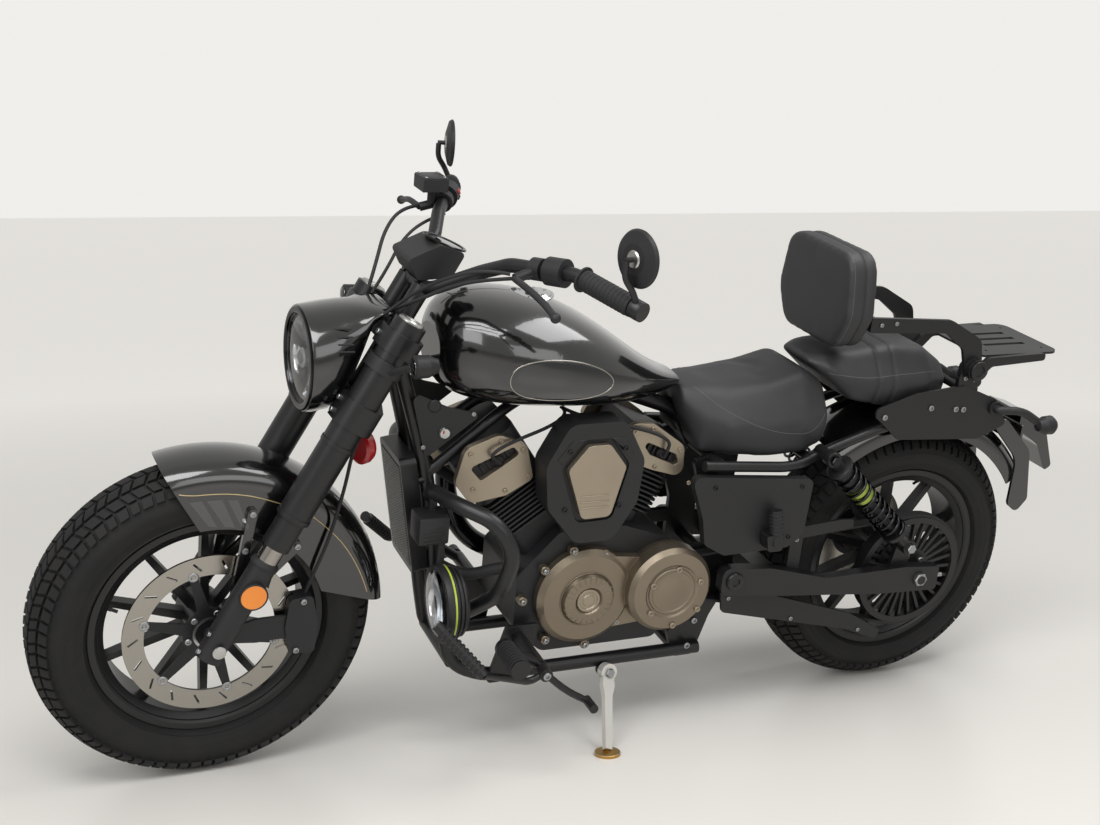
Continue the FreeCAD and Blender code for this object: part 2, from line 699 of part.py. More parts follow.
def cylinder_axis(angle):
    return Vec(sin(radians(angle)), 0, cos(radians(angle)))


def crank_point():
    return Vec(CRANK[0], 0, CRANK[1])


def engine_case():
    rows = [(925, 380, 20), (925, 262, 30), (860, 206, 30), (600, 206, 20), (CASE_REAR, 300, 10),
            (CASE_REAR, 430, 20), (700, 470, 20), (840, 470, 20)]
    return [plate(rows, -CASE_HALF, CASE_HALF)]


def engine_covers():
    face = CASE_HALF + SEAT_GAP
    generator = Vec(782, 0, 330)
    rows = [(0, face), (104, face), (104, 112), (92, 122), (56, 124), (52, 134), (30, 136), (26, 131),
            (0, 131)]
    body = turned_about(rows, generator, Y)
    clutch = Vec(605, 0, 339)
    rows = [(0, face), (91, face), (94, 110), (93, 140), (84, 150), (60, 152), (56, 149), (0, 149)]
    round_cover = turned_about(rows, clutch, Y)
    bridge = plate([(770, 420, 10), (620, 400, 10), (620, 262, 10), (770, 250, 10)], face, 116)
    x, z, r = FRONT_PULLEY
    y = PULLEY_OFFSET + BELT_WIDTH / 2 + 4
    pocket = cylinder((x, face - 5, z), (x, y, z), r + 10)
    slot = block((x - 80, face - 5, z - r - 24), (x, y, z + r + 24))
    left = fuse([body, round_cover, bridge]).cut([pocket, slot])
    right = turned_about([(0, face), (100, face), (100, 118), (84, 130), (0, 132)], Vec(660, 0, 340), Y)
    return [left] + mirrored([right])


# A block along a cylinder's axis, square to it.
def local_block(angle, low, high, half_across, half_y, corner):
    axis = cylinder_axis(angle)
    rows = [(half_across, half_y, corner), (-half_across, half_y, corner), (-half_across, -half_y, corner),
            (half_across, -half_y, corner)]
    return panel(rows, crank_point() + axis * low, Y.cross(axis), Y, high - low)


# A point beside a cylinder: across its axis, positive to the rear, and along it.
def beside(angle, across, along, y=0.0):
    axis = cylinder_axis(angle)
    return crank_point() + axis * along - Y.cross(axis) * across + Y * y


# A face beside a cylinder; rows are (across, along, corner radius).
def side_face(angle, rows, y):
    points = [beside(angle, a, b, y) for a, b, r in rows]
    return Part.Face(rounded_wire(points, [r for a, b, r in rows], closed=True))


# angle, top of the head, outline of its cover and of the window (across, along, corner radius), exhaust port
HEADS = [
    (FRONT_CYLINDER_ANGLE, 398,
     [(-88, 377, 22), (-34, 424, 26), (34, 406, 26), (68, 354, 24), (42, 284, 12), (-20, 290, 10),
      (-86, 322, 16)],
     [(-48, 386, 7), (44, 367, 7), (46, 346, 7), (-44, 348, 7)], (-30, 340)),
    (REAR_CYLINDER_ANGLE, 352,
     [(-92, 352, 22), (-46, 370, 26), (42, 356, 26), (76, 296, 18), (2, 284, 10), (-60, 280, 10),
      (-92, 300, 12)],
     [(-60, 331, 7), (34, 333, 7), (58, 312, 7), (-20, 310, 7)], (10, 310))]


def cylinders():
    units = []
    case = engine_case()[0]
    case.translate(Z * SEAT_GAP)
    for angle, top, cover, window, port in HEADS:
        parts = [local_block(angle, 110, FIN_LOW - 6, 58, 62, 18), local_block(angle, 140, 292, 54, 58, 30),
                 local_block(angle, 288, top, FIN_HALF, HEAD_HALF, 20)]
        for i in range(FIN_COUNT):
            low = FIN_LOW + i * FIN_PITCH
            parts.append(local_block(angle, low, low + 4, FIN_HALF, 78, 22))
        units.append(fuse(parts).cut(case))
    return units


def champagne_covers():
    y = HEAD_HALF + SEAT_GAP
    pieces = []
    for angle, top, cover, window, port in HEADS:
        outer = side_face(angle, cover, y).extrude(Y * COVER_DEPTH)
        inner = side_face(angle, window, y - 1).extrude(Y * (COVER_DEPTH + 2))
        left = outer.cut(inner)
        start, end = beside(angle, *port, -y + 1), beside(angle, *port, -y - COVER_DEPTH - 1)
        pipe = cylinder(start, end, PORT_RADIUS + 3)
        pieces += [left, mirrored([left])[0].cut(pipe)]
    return pieces + air_plate()


def air_cleaner():
    rows = [(912, 640, 36), (868, 722, 30), (752, 722, 30), (706, 640, 36), (712, 552, 36), (758, 474, 30),
            (838, 474, 30), (902, 552, 36)]
    body = plate(rows, HEAD_HALF + COVER_DEPTH + 2 * SEAT_GAP, 158)
    hollow = [(880, 634, 16), (836, 690, 16), (780, 690, 16), (738, 634, 16), (764, 520, 18), (840, 518, 18)]
    return [body.cut(plate(hollow, 152, 170))]


def air_plate():
    rows = [(869, 632, 12), (830, 680, 12), (786, 680, 12), (748, 632, 12), (772, 530, 14), (832, 528, 14)]
    return [plate(rows, 152.3, 166)]


def exhaust():
    y = -HEAD_HALF - 2 * SEAT_GAP
    starts = [beside(angle, *port, y) for angle, top, cover, window, port in HEADS]
    front, rear = starts
    front_route = [front, (front.x, -138, front.z), (front.x, -150, 470), (955, -152, 360), (850, -158, 300),
                   (700, -168, 238), (436, -196, 217)]
    rear_route = [rear, (rear.x, -136, rear.z), (rear.x, -154, 480), (604, -168, 356), (548, -184, 262),
                  (500, -191, 221)]
    rows = [(0, 0), (30, 0), (48, 60), (52, 120), (52, 520), (44, 556), (28, 560), (28, 540), (0, 540)]
    muffler = turned_about(rows, Vec(440, -200, 215), unit(Vec(-1, 0, 0.02)))
    return [fuse([tube(front_route, PORT_RADIUS), tube(rear_route, PORT_RADIUS), muffler])]


def radiator():
    low, high = vec(RADIATOR_LOW), vec(RADIATOR_HIGH)
    height = (high - low).Length
    half = RADIATOR_HALF
    rows = [(-half, 0, 14), (half, 0, 14), (half, height, 14), (-half, height, 14)]
    return [panel(rows, low, Y, unit(high - low), RADIATOR_THICK)]


# The tank: sections from the steering head to the seat.
# x, half width, underside, widest height, top, squareness
TANK_ROWS = [(1102, 58, 792, 838, 880, 2.3), (1082, 98, 764, 832, 922, 2.4), (1010, 147, 742, 818, 944, 2.4),
             (900, 166, 732, 806, 930, 2.4), (780, 146, 724, 790, 878, 2.4), (670, 96, 724, 772, 806, 2.3),
             (590, 46, 738, 756, 766, 2.2)]


def fuel_tank():
    body = loft([cross_section(*row) for row in TANK_ROWS])
    seat, up = cap_seat()
    recess = cylinder(seat, seat + up * 60, CAP_RADIUS + SEAT_GAP)
    return [body.cut(backbone_tunnel()).cut(recess)]


# The filler's seat: its middle and the direction that it faces.
def cap_seat():
    up = unit(Vec(0.12, 0, 1))
    return Vec(905, 0, 924), up


def tank_cap():
    seat, up = cap_seat()
    r = CAP_RADIUS
    return [turned_about([(0, SEAT_GAP), (r, SEAT_GAP), (r, 7), (r - 6, 11), (0, 12)], seat, up)]


# x, half width, underside, widest height, top
SEAT_ROWS = [(586, 62, 696, 720, 748), (550, 104, RIDER_BASE, 690, 746), (500, 134, RIDER_BASE, 680, 742),
             (400, 142, 606, 676, 752), (320, 132, 606, 674, 778), (262, 112, 618, 684, 744)]
PILLION_ROWS = [(300, 54, 780, 786, 794), (262, 92, 754, 776, 802), (205, 106, 706, 752, 806),
                (110, 112, PILLION_BASE, 750, 818), (20, 106, PILLION_BASE, 744, 808),
                (-52, 66, PILLION_BASE, 730, 762)]


def rider_seat():
    return [loft([cushion_section(*row) for row in SEAT_ROWS], ruled=True).cut(backbone_tunnel())]


def pillion_seat():
    return [loft([cushion_section(*row) for row in PILLION_ROWS], ruled=True)]


def side_covers():
    rows = [(596, 592, 14), (310, 566, 14), (316, 440, 24), (350, 416, 20), (500, 412, 20), (548, 440, 16),
            (560, 500, 16)]
    peg = cylinder((528, CASE_HALF + SEAT_GAP, 560), (528, 140, 560), 8)
    return both_sides([plate(rows, COVER_FACES[0], COVER_FACES[1]).fuse(peg)]) + neck_covers()


# The triangular covers between the down tubes and the braces, under the tank.
def neck_covers():
    rows = [(1158, 774, 10), (1124, 640, 8), (1016, 722, 8), (1084, 740, 10)]
    peg = cylinder((1127.5, 67.2, 660), (1127.5, 73, 660), 5)
    return both_sides([plate(rows, 71.3, 76).fuse(peg)])


def rear_fender():
    crown = REAR_RADIUS + REAR_FENDER_GAP
    return [arch(REAR_AXLE, REAR_FENDER_HALF, crown, crown - 60, REAR_FENDER_WALL, 52, 146)]


def tail_panels():
    flap = plate([(-176, 632, 10), (-214, 640, 10), (-296, 560, 40), (-318, 440, 14), (-292, 408, 14),
                  (-264, 430, 20), (-264, 540, 60)], REAR_FENDER_HALF + SEAT_GAP, REAR_FENDER_HALF + 7)
    tie = block((-268, -REAR_FENDER_HALF - 5, 574), (-262, REAR_FENDER_HALF + 5, 620))
    sides = fuse(both_sides([flap]) + [tie])
    rows = [(-285, 636, 6), (-340, 620, 14), (-366, 590, 20), (-402, 500, 8), (-384, 488, 8), (-348, 556, 30),
            (-285, 596, 14)]
    tail = plate(rows, -60, 60)
    bracket = block((-286, -20, 598), (-267, 20, 612))
    return [fuse([sides, tail, bracket])]


def tail_lamp():
    out = unit(Vec(-90, 0, 36))
    a, b = Vec(-369.6, -42, 581) + out * SEAT_GAP, Vec(-394.8, -42, 518) + out * SEAT_GAP
    corners = [a, b, b + out * 7, a + out * 7]
    return [Part.Face(Part.makePolygon(corners + corners[:1])).extrude(Y * 84)]


def rear_indicators():
    root, tip = Vec(-150, 120.3, 680), Vec(-258, 166, 650)
    stalk = tube([root, root + Y * 16, Vec(-200, 154, 682), tip + Vec(16, -6, 6)], 9)
    body = turned_about([(0, -24), (12, -20), (20, -4), (21, 14), (16, 20), (0, 22)], tip, X * -1)
    base = cylinder(root, root + Y * 6, 15)
    return both_sides([fuse([stalk, body, base])])


# Rack, fender brackets and the sockets of the backrest clamps.
def rack():
    clamp_x, clamp_z = CLAMP_POINT
    inner, outer = RAIL_Y + SEAT_TUBE / 2 + SEAT_GAP, 120.0
    rows = [(170, 690, 14), (60, 724, 10), (-60, 736, 10), (-150, 700, 12), (-192, 640, 10), (-120, 610, 10),
            (90, 622, 10)]
    bracket = plate(rows, inner, outer)
    rows = [(clamp_x + 26, 756, 6), (clamp_x - 26, 756, 6), (clamp_x - 30, 690, 6), (clamp_x + 22, 690, 6)]
    boss = plate(rows, 106, 118)
    ear = plate([(clamp_x + 24, clamp_z + 10, 16), (clamp_x - 24, clamp_z + 26, 16), (clamp_x - 36, 730, 10),
                 (clamp_x + 24, 730, 10)], 106, 118)
    side_bar = plate([(clamp_x - 6, 750, 8), (clamp_x - 50, 792, 14), (clamp_x - 200, 796, 6),
                      (clamp_x - 200, 780, 6), (clamp_x - 60, 772, 14), (clamp_x - 20, 730, 8)], 100, 112)
    deck_rows = [(-106, -100, 14), (-318, -100, 26), (-318, 100, 26), (-106, 100, 14)]
    deck = panel(deck_rows, Vec(0, 0, 790), X, Y, 5)
    holes = [cylinder((x, y, 780), (x, y, 805), RACK_HOLE) for x in (-140, -290) for y in (-70, 70)]
    slots = [block((-270, y - 6, 780), (-160, y + 6, 805)) for y in (-36, 0, 36)]
    cross = cylinder((clamp_x, -108, 722), (clamp_x, 108, 722), 9)
    fender = REAR_FENDER_HALF + SEAT_GAP
    pads = [cylinder((x, fender, z), (x, outer, z), 8) for x, z in ((-10, 628), (-80, 622))]
    return [fuse(both_sides([bracket, boss, ear, side_bar] + pads) + [deck.cut(holes + slots), cross])]


def backrest_arms():
    clamp_x, clamp_z = CLAMP_POINT
    rows = [(clamp_x - 20, clamp_z + 2, 18), (clamp_x - 6, 840, 30), (10, 886, 40), (210.7, 898, 4),
            (210.7, 866, 4), (20, 858, 30), (clamp_x + 38, 820, 20), (clamp_x + 20, clamp_z - 14, 18)]
    arm = plate(rows, 118.4, 127)
    disc = cylinder((clamp_x, 118.4, clamp_z), (clamp_x, 142, clamp_z), 24)
    cross = block((196, -119, 868), (210.7, 119, 896))
    return [fuse(both_sides([arm, disc]) + [cross])]


def backrest_pad():
    rows = [(98, 824, 40), (138, 900, 70), (118, 1026, 46), (-118, 1026, 46), (-138, 900, 70), (-98, 824, 40)]
    wire = rounded_wire([Vec(211, y, z) for y, z, r in rows], [r for y, z, r in rows], closed=True)
    return [Part.Face(wire).extrude(X * 66)]


def swingarm():
    px, pz = SWING_PIVOT
    rows = [(px + 30, pz + 32, 20), (px + 30, pz - 30, 20), (360, 306, 30), (100, 280, 20), (-50, 274, 8),
            (-50, 330, 8), (40, 338, 20), (240, 334, 30), (380, 372, 30)]
    arm = plate(rows, ARM_INNER, ARM_OUTER)
    x, y, z = SHOCK_BOTTOM
    face = y - SHOCK_EYE_HALF - SEAT_GAP
    rows = [(x - 24, 320, 0), (x + 28, 320, 0), (x + 12, z + 12, 12), (x - 12, z + 12, 12)]
    eye = plate(rows, face - 12, face)
    spacer = cylinder((0, 124.5, REAR_RADIUS), (0, ARM_INNER + 5, REAR_RADIUS), 15)
    parts = both_sides([arm, eye]) + [spacer]
    parts.append(cylinder((0, -92.5, REAR_RADIUS), (0, -ARM_INNER - 5, REAR_RADIUS), 15))
    parts.append(block((345, -140, 322), (392, 140, 352)))
    parts.append(cylinder((0, -174, REAR_RADIUS), (0, 174, REAR_RADIUS), AXLE_RADIUS))
    return [fuse(parts)]


def shocks():
    top, foot = vec(SHOCK_TOP), vec(SHOCK_BOTTOM)
    along = unit(foot - top)
    length = (foot - top).Length
    parts = [cylinder(top + along * 14, foot - along * 14, SHOCK_EYE_HALF - 0.1)]
    parts.append(cylinder(top + along * 28, top + along * 36, 30))
    parts.append(cylinder(foot - along * 60, foot - along * 50, 30))
    parts += [cylinder(p - Y * SHOCK_EYE_HALF, p + Y * SHOCK_EYE_HALF, 17) for p in (top, foot)]
    spring_start, spring_end = 35, length - 55
    pitch = (spring_end - spring_start) / COIL_COUNT
    rows = [(11, spring_start)]
    for i in range(COIL_COUNT):
        base = spring_start + i * pitch
        rows += [(21, base), (28, base + pitch * 0.25), (28, base + pitch * 0.55), (21, base + pitch * 0.8)]
    rows += [(21, spring_end), (11, spring_end)]
    parts.append(turned_about(rows, top, along))
    return both_sides([fuse(parts)])


def drive_belt():
    front_x, front_z, front_r = FRONT_PULLEY
    rear_r = PULLEY_RADIUS + 0.3
    distance = hypot(front_x, front_z - REAR_RADIUS)
    base = atan2(front_z - REAR_RADIUS, front_x)
    spread = acos((rear_r - front_r) / distance)
    def outline(grow):
        points = []
        for sign, centre, r in ((1, (0, REAR_RADIUS), rear_r), (1, (front_x, front_z), front_r),
                                (-1, (front_x, front_z), front_r), (-1, (0, REAR_RADIUS), rear_r)):
            a = base + sign * spread
            points.append(Vec(centre[0] + (r + grow) * cos(a), 0, centre[1] + (r + grow) * sin(a)))
        front_mid = Vec(front_x + (front_r + grow) * cos(base), 0, front_z + (front_r + grow) * sin(base))
        rear_mid = Vec(-(rear_r + grow) * cos(base), 0, REAR_RADIUS - (rear_r + grow) * sin(base))
        return Part.Wire([Part.LineSegment(points[0], points[1]).toShape(),
                          Part.Arc(points[1], front_mid, points[2]).toShape(),
                          Part.LineSegment(points[2], points[3]).toShape(),
                          Part.Arc(points[3], rear_mid, points[0]).toShape()])
    low = PULLEY_OFFSET - BELT_WIDTH / 2
    band = Part.Face(outline(5)).extrude(Y * BELT_WIDTH).cut(Part.Face(outline(0)).extrude(Y * BELT_WIDTH))
    band.translate(Y * low)
    sprocket = cylinder((front_x, low, front_z), (front_x, low + BELT_WIDTH, front_z), front_r - 0.3)
    return [band, sprocket]


def belt_guards():
    inner, outer = ARM_INNER - SEAT_GAP - 6, ARM_INNER - SEAT_GAP
    low = plate([(486, 338, 6), (474, 268, 12), (150, 186, 30), (66, 150, 10), (60, 174, 8), (150, 226, 30)],
                inner, outer)
    high = plate([(420, 440, 8), (210, 456, 20), (178, 454, 6), (178, 434, 6), (420, 410, 8)], inner, outer)
    hanger = plate([(330, 430, 0), (300, 430, 0), (300, 345, 4), (330, 345, 4)], inner, outer)
    return [low, high.fuse(hanger)]


def foot_controls():
    beam_line = [(925, 118, 262), (925, 240, 262)]
    face = CRADLE_HALF + RAIL_TUBE / 2 + SEAT_GAP
    hanger = plate([(985, 164, 8), (900, 164, 8), (880, 286, 8), (950, 286, 8)], face, face + 8)
    beam = tube(beam_line, 14, [0, 0])
    peg = tube([(1000, 236, 312), (1003, 330, 316)], 19, [0, 0])
    arm = tube([(925, 232, 262), (1001, 240, 312)], 11, [0, 0])
    hanger = fuse([hanger, beam, arm, peg])
    boss = cylinder((925, 252, 262), (925, 276, 262), 13)
    lever = tube([(925, 264, 262), (956, 270, 250), (1063, 300, 298)], 7)
    toe = cylinder((1063, 300, 296), (1140, 240, 380), 11)
    heel = tube([(925, 264, 262), (880, 270, 220), (829, 270, 188)], 7)
    pad = cylinder((829, 262, 188), (829, 300, 188), 9)
    room = cylinder((925, 200, 262), (925, 240 + SEAT_GAP, 262), 30)
    shift = fuse([boss, lever, toe, heel, pad]).cut(room)
    pin = cylinder((925, 240, 262), (925, 252 - SEAT_GAP, 262), 6)
    pedal = mirrored([fuse([boss, lever, toe])])[0]
    left = hanger.fuse(pin)
    return [left, shift, mirrored([left])[0], pedal] + passenger_pegs()


def passenger_pegs():
    peg = cylinder((402, 174, 512), (396, 187, 440), 13)
    foot = plate([(424, 462, 6), (380, 462, 6), (384, 426, 8), (416, 426, 8)],
                 COVER_FACES[1] + SEAT_GAP, 190)
    return both_sides([fuse([foot, peg])])


def crash_tube(radius):
    return tube([(1104, 61, 560), (1118, 112, 590), (1100, 190, 596), (1040, 250, 580), (1006, 264, 520),
                 (1018, 240, 430), (1030, 172, 372), (1036, 112, 326), (1062, 72, 284)], radius)


def crash_bars():
    bar = crash_tube(15).cut(down_tube(RAIL_TUBE / 2 + SEAT_GAP))
    return both_sides([max(bar.Solids, key=lambda s: s.Volume)])


def aux_lamps():
    centre = Vec(1109, 156, 376)
    rows = [(0, -46), (58, -46), (76, -38), (76, -4), (70, 4), (60, 8), (0, 12)]
    lamp = turned_about(rows, centre, X)
    pod = block((1092, 90, 494), (1152, 148, 550))
    stem = cylinder((1100, 126, 440), (1100, 126, 500), 8)
    hanger = cylinder((1114, 104, 545), (1114, 104, 588), 8).cut(crash_tube(15 + SEAT_GAP))
    return [fuse([lamp, stem, pod, hanger])]


def horn():
    centre = Vec(1248, 60, 669)
    out = unit(Vec(1, 0.4, 0))
    body = turned_about([(0, -14), (30, -14), (34, -6), (34, 4), (28, 8), (0, 8)], centre, out)
    top = on_fork(CROWN_LOW[0] - SEAT_GAP, 58, -28)
    strut = cylinder(centre - out * 10, top - STEER_AXIS * 9, 7)
    return [fuse([body, strut, cylinder(top - STEER_AXIS * 8, top, 11)])]


def side_stand():
    pivot = vec(STAND_PIVOT)
    foot_x, foot_y = STAND_FOOT
    foot = Vec(foot_x, foot_y, floor_height(foot_x, foot_y))
    up = STANCE.inverse().Rotation.multVec(Z)
    sole = Part.makeCylinder(26, FOOT_THICK, foot, up)
    axis = unit(vec(STAND_AXIS))
    eye = cylinder(pivot - axis * 9, pivot + axis * 9, 18)
    down = unit(foot - pivot)
    across = unit(axis.cross(down))
    length = (foot + up * 13 - pivot).Length
    rows = [(13, 14, 0), (15, 30, 10), (9, 52, 30), (8, length, 0), (-8, length, 0), (-10, 52, 30),
            (-15, 30, 10), (-13, 14, 0)]
    leg = panel(rows, pivot + unit(down.cross(across)) * 6, across, down, 12)
    return [fuse([sole, leg, eye])]


NODES = {
    "frame": (frame, "frame"),
    "engine_case": (engine_case, "frame"),
    "engine_covers": (engine_covers, "frame"),
    "cylinders": (cylinders, "frame"),
    "champagne_covers": (champagne_covers, "frame"),
    "air_cleaner": (air_cleaner, "frame"),
    "exhaust": (exhaust, "frame"),
    "radiator": (radiator, "frame"),
    "fuel_tank": (fuel_tank, "frame"),
    "tank_cap": (tank_cap, "frame"),
    "rider_seat": (rider_seat, "frame"),
    "pillion_seat": (pillion_seat, "frame"),
    "side_covers": (side_covers, "frame"),
    "rear_fender": (rear_fender, "frame"),
    "tail_panels": (tail_panels, "frame"),
    "tail_lamp": (tail_lamp, "frame"),
    "rear_indicators": (rear_indicators, "frame"),
    "rack": (rack, "frame"),
    "swingarm": (swingarm, "frame"),
    "shocks": (shocks, "frame"),
    "drive_belt": (drive_belt, "frame"),
    "belt_guards": (belt_guards, "frame"),
    "foot_controls": (foot_controls, "frame"),
    "crash_bars": (crash_bars, "frame"),
    "aux_lamps": (aux_lamps, "frame"),
    "horn": (horn, "steered"),
    "side_stand": (side_stand, "frame"),
    "backrest_arms": (backrest_arms, "frame"),
    "backrest_pad": (backrest_pad, "frame"),
    "rear_tyre": (rear_tyre, "frame"),
    "rear_rim": (rear_rim, "frame"),
    "rear_pulley": (rear_pulley, "frame"),
    "rear_disc": (rear_disc, "frame"),
    "fork": (fork, "steered"),
    "fork_lower": (fork_lower, "steered"),
    "front_fender": (front_fender, "steered"),
    "fork_reflectors": (fork_reflectors, "steered"),
    "headlamp_shell": (headlamp_shell, "steered"),
    "headlamp_lens": (headlamp_lens, "steered"),
    "handlebar": (handlebar, "steered"),
    "instrument": (instrument, "steered"),
    "grips": (grips, "steered"),
    "hand_controls": (hand_controls, "steered"),
    "mirrors": (mirrors, "steered"),
    "front_indicators": (front_indicators, "steered"),
    "brake_caliper": (brake_caliper, "steered"),
    "brake_hose": (brake_hose, "steered"),
    "front_tyre": (front_tyre, "steered"),
    "front_rim": (front_rim, "steered"),
    "front_disc": (front_disc, "steered"),
}


def placed(shapes, group):
    whole = Part.makeCompound(shapes) if len(shapes) > 1 else shapes[0]
    if group == "steered":
        whole = whole.transformed(STEERED.toMatrix())
    return whole.transformed(STANCE.toMatrix())


def main():
    os.makedirs("parts", exist_ok=True)
    for name, (build, group) in NODES.items():
        placed(build(), group).exportStep(f"parts/{name}.step")


if __name__ == "__main__":
    main()
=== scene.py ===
import bpy
import json
from math import cos, exp, pi, radians, sin
from mathutils import Matrix, Vector
from mathutils.bvhtree import BVHTree

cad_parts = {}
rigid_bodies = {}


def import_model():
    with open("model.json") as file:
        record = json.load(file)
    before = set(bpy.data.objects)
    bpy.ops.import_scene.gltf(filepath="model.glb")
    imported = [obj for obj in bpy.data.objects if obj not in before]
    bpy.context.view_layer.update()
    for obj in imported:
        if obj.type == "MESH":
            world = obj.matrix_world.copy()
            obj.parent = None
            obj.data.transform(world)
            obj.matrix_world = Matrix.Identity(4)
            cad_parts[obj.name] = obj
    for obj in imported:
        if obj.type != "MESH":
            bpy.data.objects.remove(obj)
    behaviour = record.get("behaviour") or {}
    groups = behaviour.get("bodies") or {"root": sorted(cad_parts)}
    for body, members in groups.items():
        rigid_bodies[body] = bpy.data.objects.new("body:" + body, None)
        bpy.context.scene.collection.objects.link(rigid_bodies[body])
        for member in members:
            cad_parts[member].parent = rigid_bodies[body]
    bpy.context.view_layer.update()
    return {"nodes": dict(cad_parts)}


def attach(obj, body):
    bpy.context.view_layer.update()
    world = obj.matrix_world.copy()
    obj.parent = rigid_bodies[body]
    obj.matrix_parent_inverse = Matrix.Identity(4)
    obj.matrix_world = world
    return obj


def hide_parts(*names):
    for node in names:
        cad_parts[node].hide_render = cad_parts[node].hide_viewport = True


bpy.ops.object.select_all(action="SELECT")
bpy.ops.object.delete()

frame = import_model()
nodes = frame["nodes"]
print("frame loaded:", len(nodes), "nodes")

# Pieces are drawn on the upright machine, in millimetres: x forward from the rear axle, y to its left, z up.
# They are then steered, leaned and set down on the floor, as the machine parks.
stance = {"lean": 11.9, "pitch": 0.0486, "setDown": (-718.0, -213.0, 3.644), "steer": 2.4, "rake": 29.35,
          "steerPoint": (1483.391, 0.0, 299.414), "frontAxle": (1520.0, 0.0, 320.0),
          "rearAxle": (0.0, 0.0, 306.0)}

xAxis, yAxis, zAxis = Vector((1, 0, 0)), Vector((0, 1, 0)), Vector((0, 0, 1))
forkUp = Vector((-sin(radians(stance["rake"])), 0, cos(radians(stance["rake"]))))
forkAhead = Vector((cos(radians(stance["rake"])), 0, sin(radians(stance["rake"]))))
leaned = (Matrix.Translation(Vector(stance["setDown"]) / 1000) @ Matrix.Rotation(radians(stance["pitch"]), 4,
        "Y") @ Matrix.Rotation(-radians(stance["lean"]), 4, "X"))
steerPoint = Vector(stance["steerPoint"]) / 1000
steered = (leaned @ Matrix.Translation(steerPoint) @ Matrix.Rotation(radians(stance["steer"]), 4,
        forkUp) @ Matrix.Translation(-steerPoint))
frontAxle, rearAxle = Vector(stance["frontAxle"]), Vector(stance["rearAxle"])
placeOf = {"frame": leaned, "steering": steered, "front_wheel": steered, "rear_wheel": leaned,
           "side_stand": leaned, "backrest": leaned}


def mm(*values):
    point = Vector(values[0]) if len(values) == 1 else Vector(values)
    return point / 1000


def onFork(along, y=0.0, ahead=0.0):
    return frontAxle + forkUp * along + yAxis * y + forkAhead * ahead


# Camera, floor and light come first.

studio = {"cameraAt": (1249.0, 2574.68, 1155.36), "yaw": -112.98, "pitch": -9.5, "roll": 0.4, "lens": 48.36,
          "floor": "DEDBD6", "floorRoughness": (0.26, 0.38), "sky": "F4F3F0", "skyLight": (0.42, 0.96),
          "mirrorShare": 0.55, "farGlow": 0.46, "glowFrom": 1.2, "glowFull": 5.0}
# place, what it points at, size in metres, power in watts
softboxes = {"ceilingPanelFront": ((1.4, 1.6, 3.0), (0.2, 0.0, 0.5), (2.6, 1.2), 66),
             "ceilingPanelRear": ((-1.4, 0.6, 3.0), (-0.2, -0.1, 0.5), (2.6, 1.2), 48),
             "windowSide": ((3.6, 2.6, 2.6), (0.4, 0.0, 0.5), (2.4, 2.0), 52),
             "fillLow": ((-0.6, 3.8, 1.7), (0.0, 0.0, 0.45), (2.8, 1.6), 26)}


def linear(code):
    parts = [int(code[i:i + 2], 16) / 255 for i in (0, 2, 4)]
    return tuple(c / 12.92 if c <= 0.04045 else ((c + 0.055) / 1.055) ** 2.4 for c in parts) + (1.0,)


# Fills a node's inputs: an output of another node is linked, anything else is written in.
def feed(tree, node, inputs):
    for socket, value in inputs.items():
        if isinstance(value, bpy.types.NodeSocket):
            tree.links.new(value, node.inputs[socket])
        else:
            node.inputs[socket].default_value = value


# A new shader node, and of its outputs the one asked for.
def addNode(tree, kind, inputs=None, give=0, **settings):
    node = tree.nodes.new("ShaderNode" + kind)
    for name, value in settings.items():
        setattr(node, name, value)
    feed(tree, node, inputs or {})
    return node.outputs[give]


def newMaterial(name):
    material = bpy.data.materials.new(name)
    material.use_nodes = True
    return material, material.node_tree, material.node_tree.nodes["Principled BSDF"]


def addCamera():
    yaw, pitch, roll = (radians(studio[k]) for k in ("yaw", "pitch", "roll"))
    look = Vector((cos(yaw) * cos(pitch), sin(yaw) * cos(pitch), sin(pitch)))
    right = look.cross(zAxis).normalized()
    up = right.cross(look)
    turnedRight = right * cos(roll) + up * sin(roll)
    turnedUp = up * cos(roll) - right * sin(roll)
    camera = bpy.data.cameras.new("camera")
    camera.sensor_width = 36.0
    camera.lens = studio["lens"]
    seen = bpy.data.objects.new("camera", camera)
    axes = Matrix((turnedRight, turnedUp, -look)).transposed().to_4x4()
    seen.matrix_world = Matrix.Translation(mm(studio["cameraAt"])) @ axes
    bpy.context.scene.collection.objects.link(seen)
    bpy.context.scene.camera = seen


def addFloor():
    bpy.ops.object.select_all(action="DESELECT")
    bpy.ops.mesh.primitive_plane_add(size=60)
    floor = bpy.context.active_object
    floor.name = "studioFloor"
    material, tree, shader = newMaterial("glazed floor tile")
    gloss = addNode(tree, "MapRange", {"Value": addNode(tree, "TexNoise", {"Scale": 0.7, "Detail": 3.0}),
            "To Min": studio["floorRoughness"][0], "To Max": studio["floorRoughness"][1]})
    # the far floor is seen as pale as the wall behind it, where the lamps don't reach
    away = addNode(tree, "VectorMath", {0: addNode(tree, "TexCoord", give="Object")}, "Value",
            operation="LENGTH")
    faded = addNode(tree, "MapRange", {"Value": away, "From Min": studio["glowFrom"],
            "From Max": studio["glowFull"], "To Min": 0.0, "To Max": studio["farGlow"]})
    glow = addNode(tree, "Math", {0: faded, 1: addNode(tree, "LightPath", give="Is Camera Ray")},
            operation="MULTIPLY")
    feed(tree, shader, {"Base Color": linear(studio["floor"]), "Roughness": gloss, "Emission Strength": glow,
            "Emission Color": linear(studio["floor"])})
    floor.data.materials.append(material)


